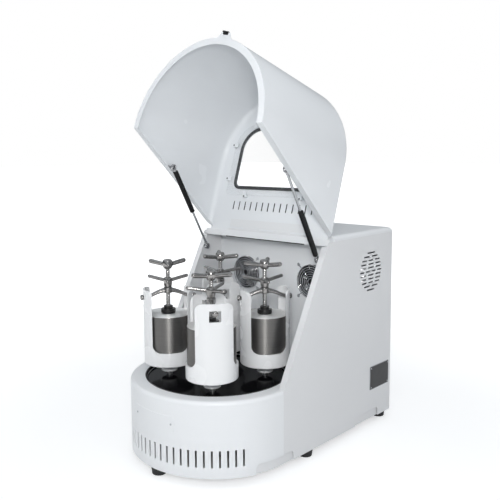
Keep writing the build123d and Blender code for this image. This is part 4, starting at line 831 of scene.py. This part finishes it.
# ---- Window ------------------------------------------------------------------------------------------
# A clear plastic pane lies on a black rubber seal inside the hood's top. White pressed clips
# with a screw each hold it.
CLIP_FACE = 571.0
CLIP_SCREWS = [(188.6, -203.0), (188.6, -96.0), (105.0, -42.5), (113.0, -273.6)]
CLIP_SCREW_RADIUS = 2.7
dress("window_gasket", trim_rubber, 0.4 * MM)
dress("window_clips", hood_coat, 0.4 * MM)
pane_fixed = {"Base Color": (0.93, 0.96, 0.97, 1.0), "Alpha": 0.05, "IOR": 1.49}
clear_pane = Finish("clear_pane", pane_fixed)
clear_pane.feed("Roughness", clear_pane.noise(30.0, 3.0) * 0.06 + 0.03)
dress("window_pane", clear_pane.material, 0.4 * MM)
clip_screw_steel = bright_steel("clip_screw_steel", (0.14, 0.14, 0.145), 0.34, 900.0)
clip_screws = []
for x, y in CLIP_SCREWS:
    for place in ((-x, y, CLIP_FACE), (x, y, CLIP_FACE)):
        clip_screws.append(moved(screw_head(CLIP_SCREW_RADIUS), OPENED @ stand(place, (0, 0, -1))))
hang(make("window_clip_screws", joined(*clip_screws), clip_screw_steel), "lid", "stud_steel")


# ---- Hinge ---------------------------------------------------------------------------------------------
# A piano hinge with five barrels on a steel pin joins the hood to the tower's front lip. It is
# sprayed with the casing. Below it a strip of white sheet lies on the lip's face, over a thin
# black strip: painted shadow of the joint under it, which shows as a dark line.
hinge_coat = powder_coat("hinge_coat", (0.76, 0.77, 0.78), 0.3)
dress("hinge_base_leaf", hinge_coat, 0.3 * MM)
dress("hinge_lid_leaf", hinge_coat, 0.3 * MM)

LIP_FACE = 55.0
STRIP_HALF = 148.0
STRIP_FOOT, STRIP_TOP = 556.0, 571.0
STRIP_SHEET = 1.0
SHADOW_LINE_HEIGHT, SHADOW_LINE_DEPTH = 2.8, 1.6
SHADOW_LINE_FACE = LIP_FACE - 0.7 * STRIP_SHEET
SHADOW_LINE_TOP = STRIP_FOOT + SHADOW_LINE_HEIGHT
strip = brick(-STRIP_HALF, STRIP_HALF, LIP_FACE - STRIP_SHEET, LIP_FACE, SHADOW_LINE_TOP, STRIP_TOP)
strip_piece = make("hinge_strip", strip, casing_coat)
soften(strip_piece, 0.3 * MM)
hang(strip_piece, "base", "powder_coat")
# a black strip where the joint's shadow falls: painted shadow
shadow_line = brick(-STRIP_HALF, STRIP_HALF, SHADOW_LINE_FACE, LIP_FACE + SHADOW_LINE_DEPTH, STRIP_FOOT, SHADOW_LINE_TOP)
shadow_line_piece = make("hinge_strip_shadow_line", shadow_line, trim_rubber)
soften(shadow_line_piece, 0.2 * MM)
hang(shadow_line_piece, "base", "seal_rubber")


# ---- Gas struts -----------------------------------------------------------------------------------------
# Two gas struts hold the hood up. Each is a black tube with a crimped mouth, a chromed rod and a
# steel eye at both ends, which turns on a stud. The left one hangs tube up, the right one tube down.
STRUT_X = 208.5
BASE_PIVOT = Vector((34.0, 524.0))
LID_PIVOT = Vector((-98.834, 768.051))
TUBE_LENGTH = 154.0
strut_black = Finish("strut_black", {"Specular IOR Level": 0.18})
strut_black.colour(strut_black.noise(90.0, 3.0), (0.005, 0.005, 0.006), (0.011, 0.011, 0.012))
strut_black.feed("Roughness", strut_black.noise(400.0, 2.0) * 0.12 + 0.24)
strut_black.bump(strut_black.noise(1500.0, 1.0), 0.02 * MM)
rod_chrome = bright_steel("rod_chrome", (0.40, 0.41, 0.42), 0.12, 500.0)
eye_steel = bright_steel("eye_steel", (0.42, 0.42, 0.43), 0.26, 700.0)
ROD_RADIUS, ROD_START, ROD_HIDDEN = 3.5, 12.0, 20.0
TUBE_PROFILE = [(3.7, 14.0, 0.0), (6.0, 13.0, 0.5), (7.5, 14.0, 1.2), (7.5, 144.0, 0.8), (6.9, 146.0, 0.6),
                (7.5, 148.0, 0.8), (7.5, 153.0, 1.4), (5.2, 154.0, 0.5), (3.7, 153.0, 0.0)]
NECK_PROFILE = [(3.0, 5.0, 0.0), (4.6, 6.0, 0.6), (4.6, 15.0, 0.6), (3.0, 15.4, 0.0)]
EYE_PROFILE = [(4.1, -3.6, 0.0), (8.0, -4.0, 0.6), (9.0, -2.4, 0.8), (9.0, 2.4, 0.8), (8.0, 4.0, 0.6),
               (4.1, 3.6, 0.0)]
for side, tube_on_base in ((-1, False), (1, True)):
    label = "left" if side < 0 else "right"
    low = Vector((side * STRUT_X, *BASE_PIVOT))
    high = Vector((side * STRUT_X, *LID_PIVOT))
    length = (high - low).length
    tube_end, rod_end = (low, high) if tube_on_base else (high, low)
    along = stand(tube_end, rod_end - tube_end)
    back = stand(rod_end, tube_end - rod_end)
    eye = turned(eased(EYE_PROFILE), 32, True)
    ends = [joined(moved(eye, stand(end, (1, 0, 0))), moved(turned(eased(NECK_PROFILE), 24), way))
            for end, way in ((tube_end, along), (rod_end, back))]
    tube_body, rod_body = ("lower", "upper") if tube_on_base else ("upper", "lower")
    tube_body, rod_body = label + "_strut_" + tube_body, label + "_strut_" + rod_body
    tube = make(label + "_gas_tube", moved(turned(eased(TUBE_PROFILE), 40), along), strut_black.material)
    hang(flatten(tube), tube_body, "strut_tube", label + "_strut_tube")
    tube_eye = make(label + "_tube_eye", ends[0], eye_steel)
    hang(flatten(tube_eye), tube_body, "stud_steel", label + "_strut_tube")
    shaft = turned([(ROD_RADIUS, ROD_START), (ROD_RADIUS, length - TUBE_LENGTH + ROD_HIDDEN)], 24)
    rod_piece = make(label + "_gas_rod", moved(shaft, back), rod_chrome)
    hang(flatten(rod_piece), rod_body, "strut_rod", label + "_strut_rod")
    rod_eye = make(label + "_rod_eye", ends[1], eye_steel)
    hang(flatten(rod_eye), rod_body, "stud_steel", label + "_strut_rod")
for node in ("strut_base_studs", "strut_lid_studs"):
    dress(node, eye_steel, 0.4 * MM)

bpy.context.view_layer.update()
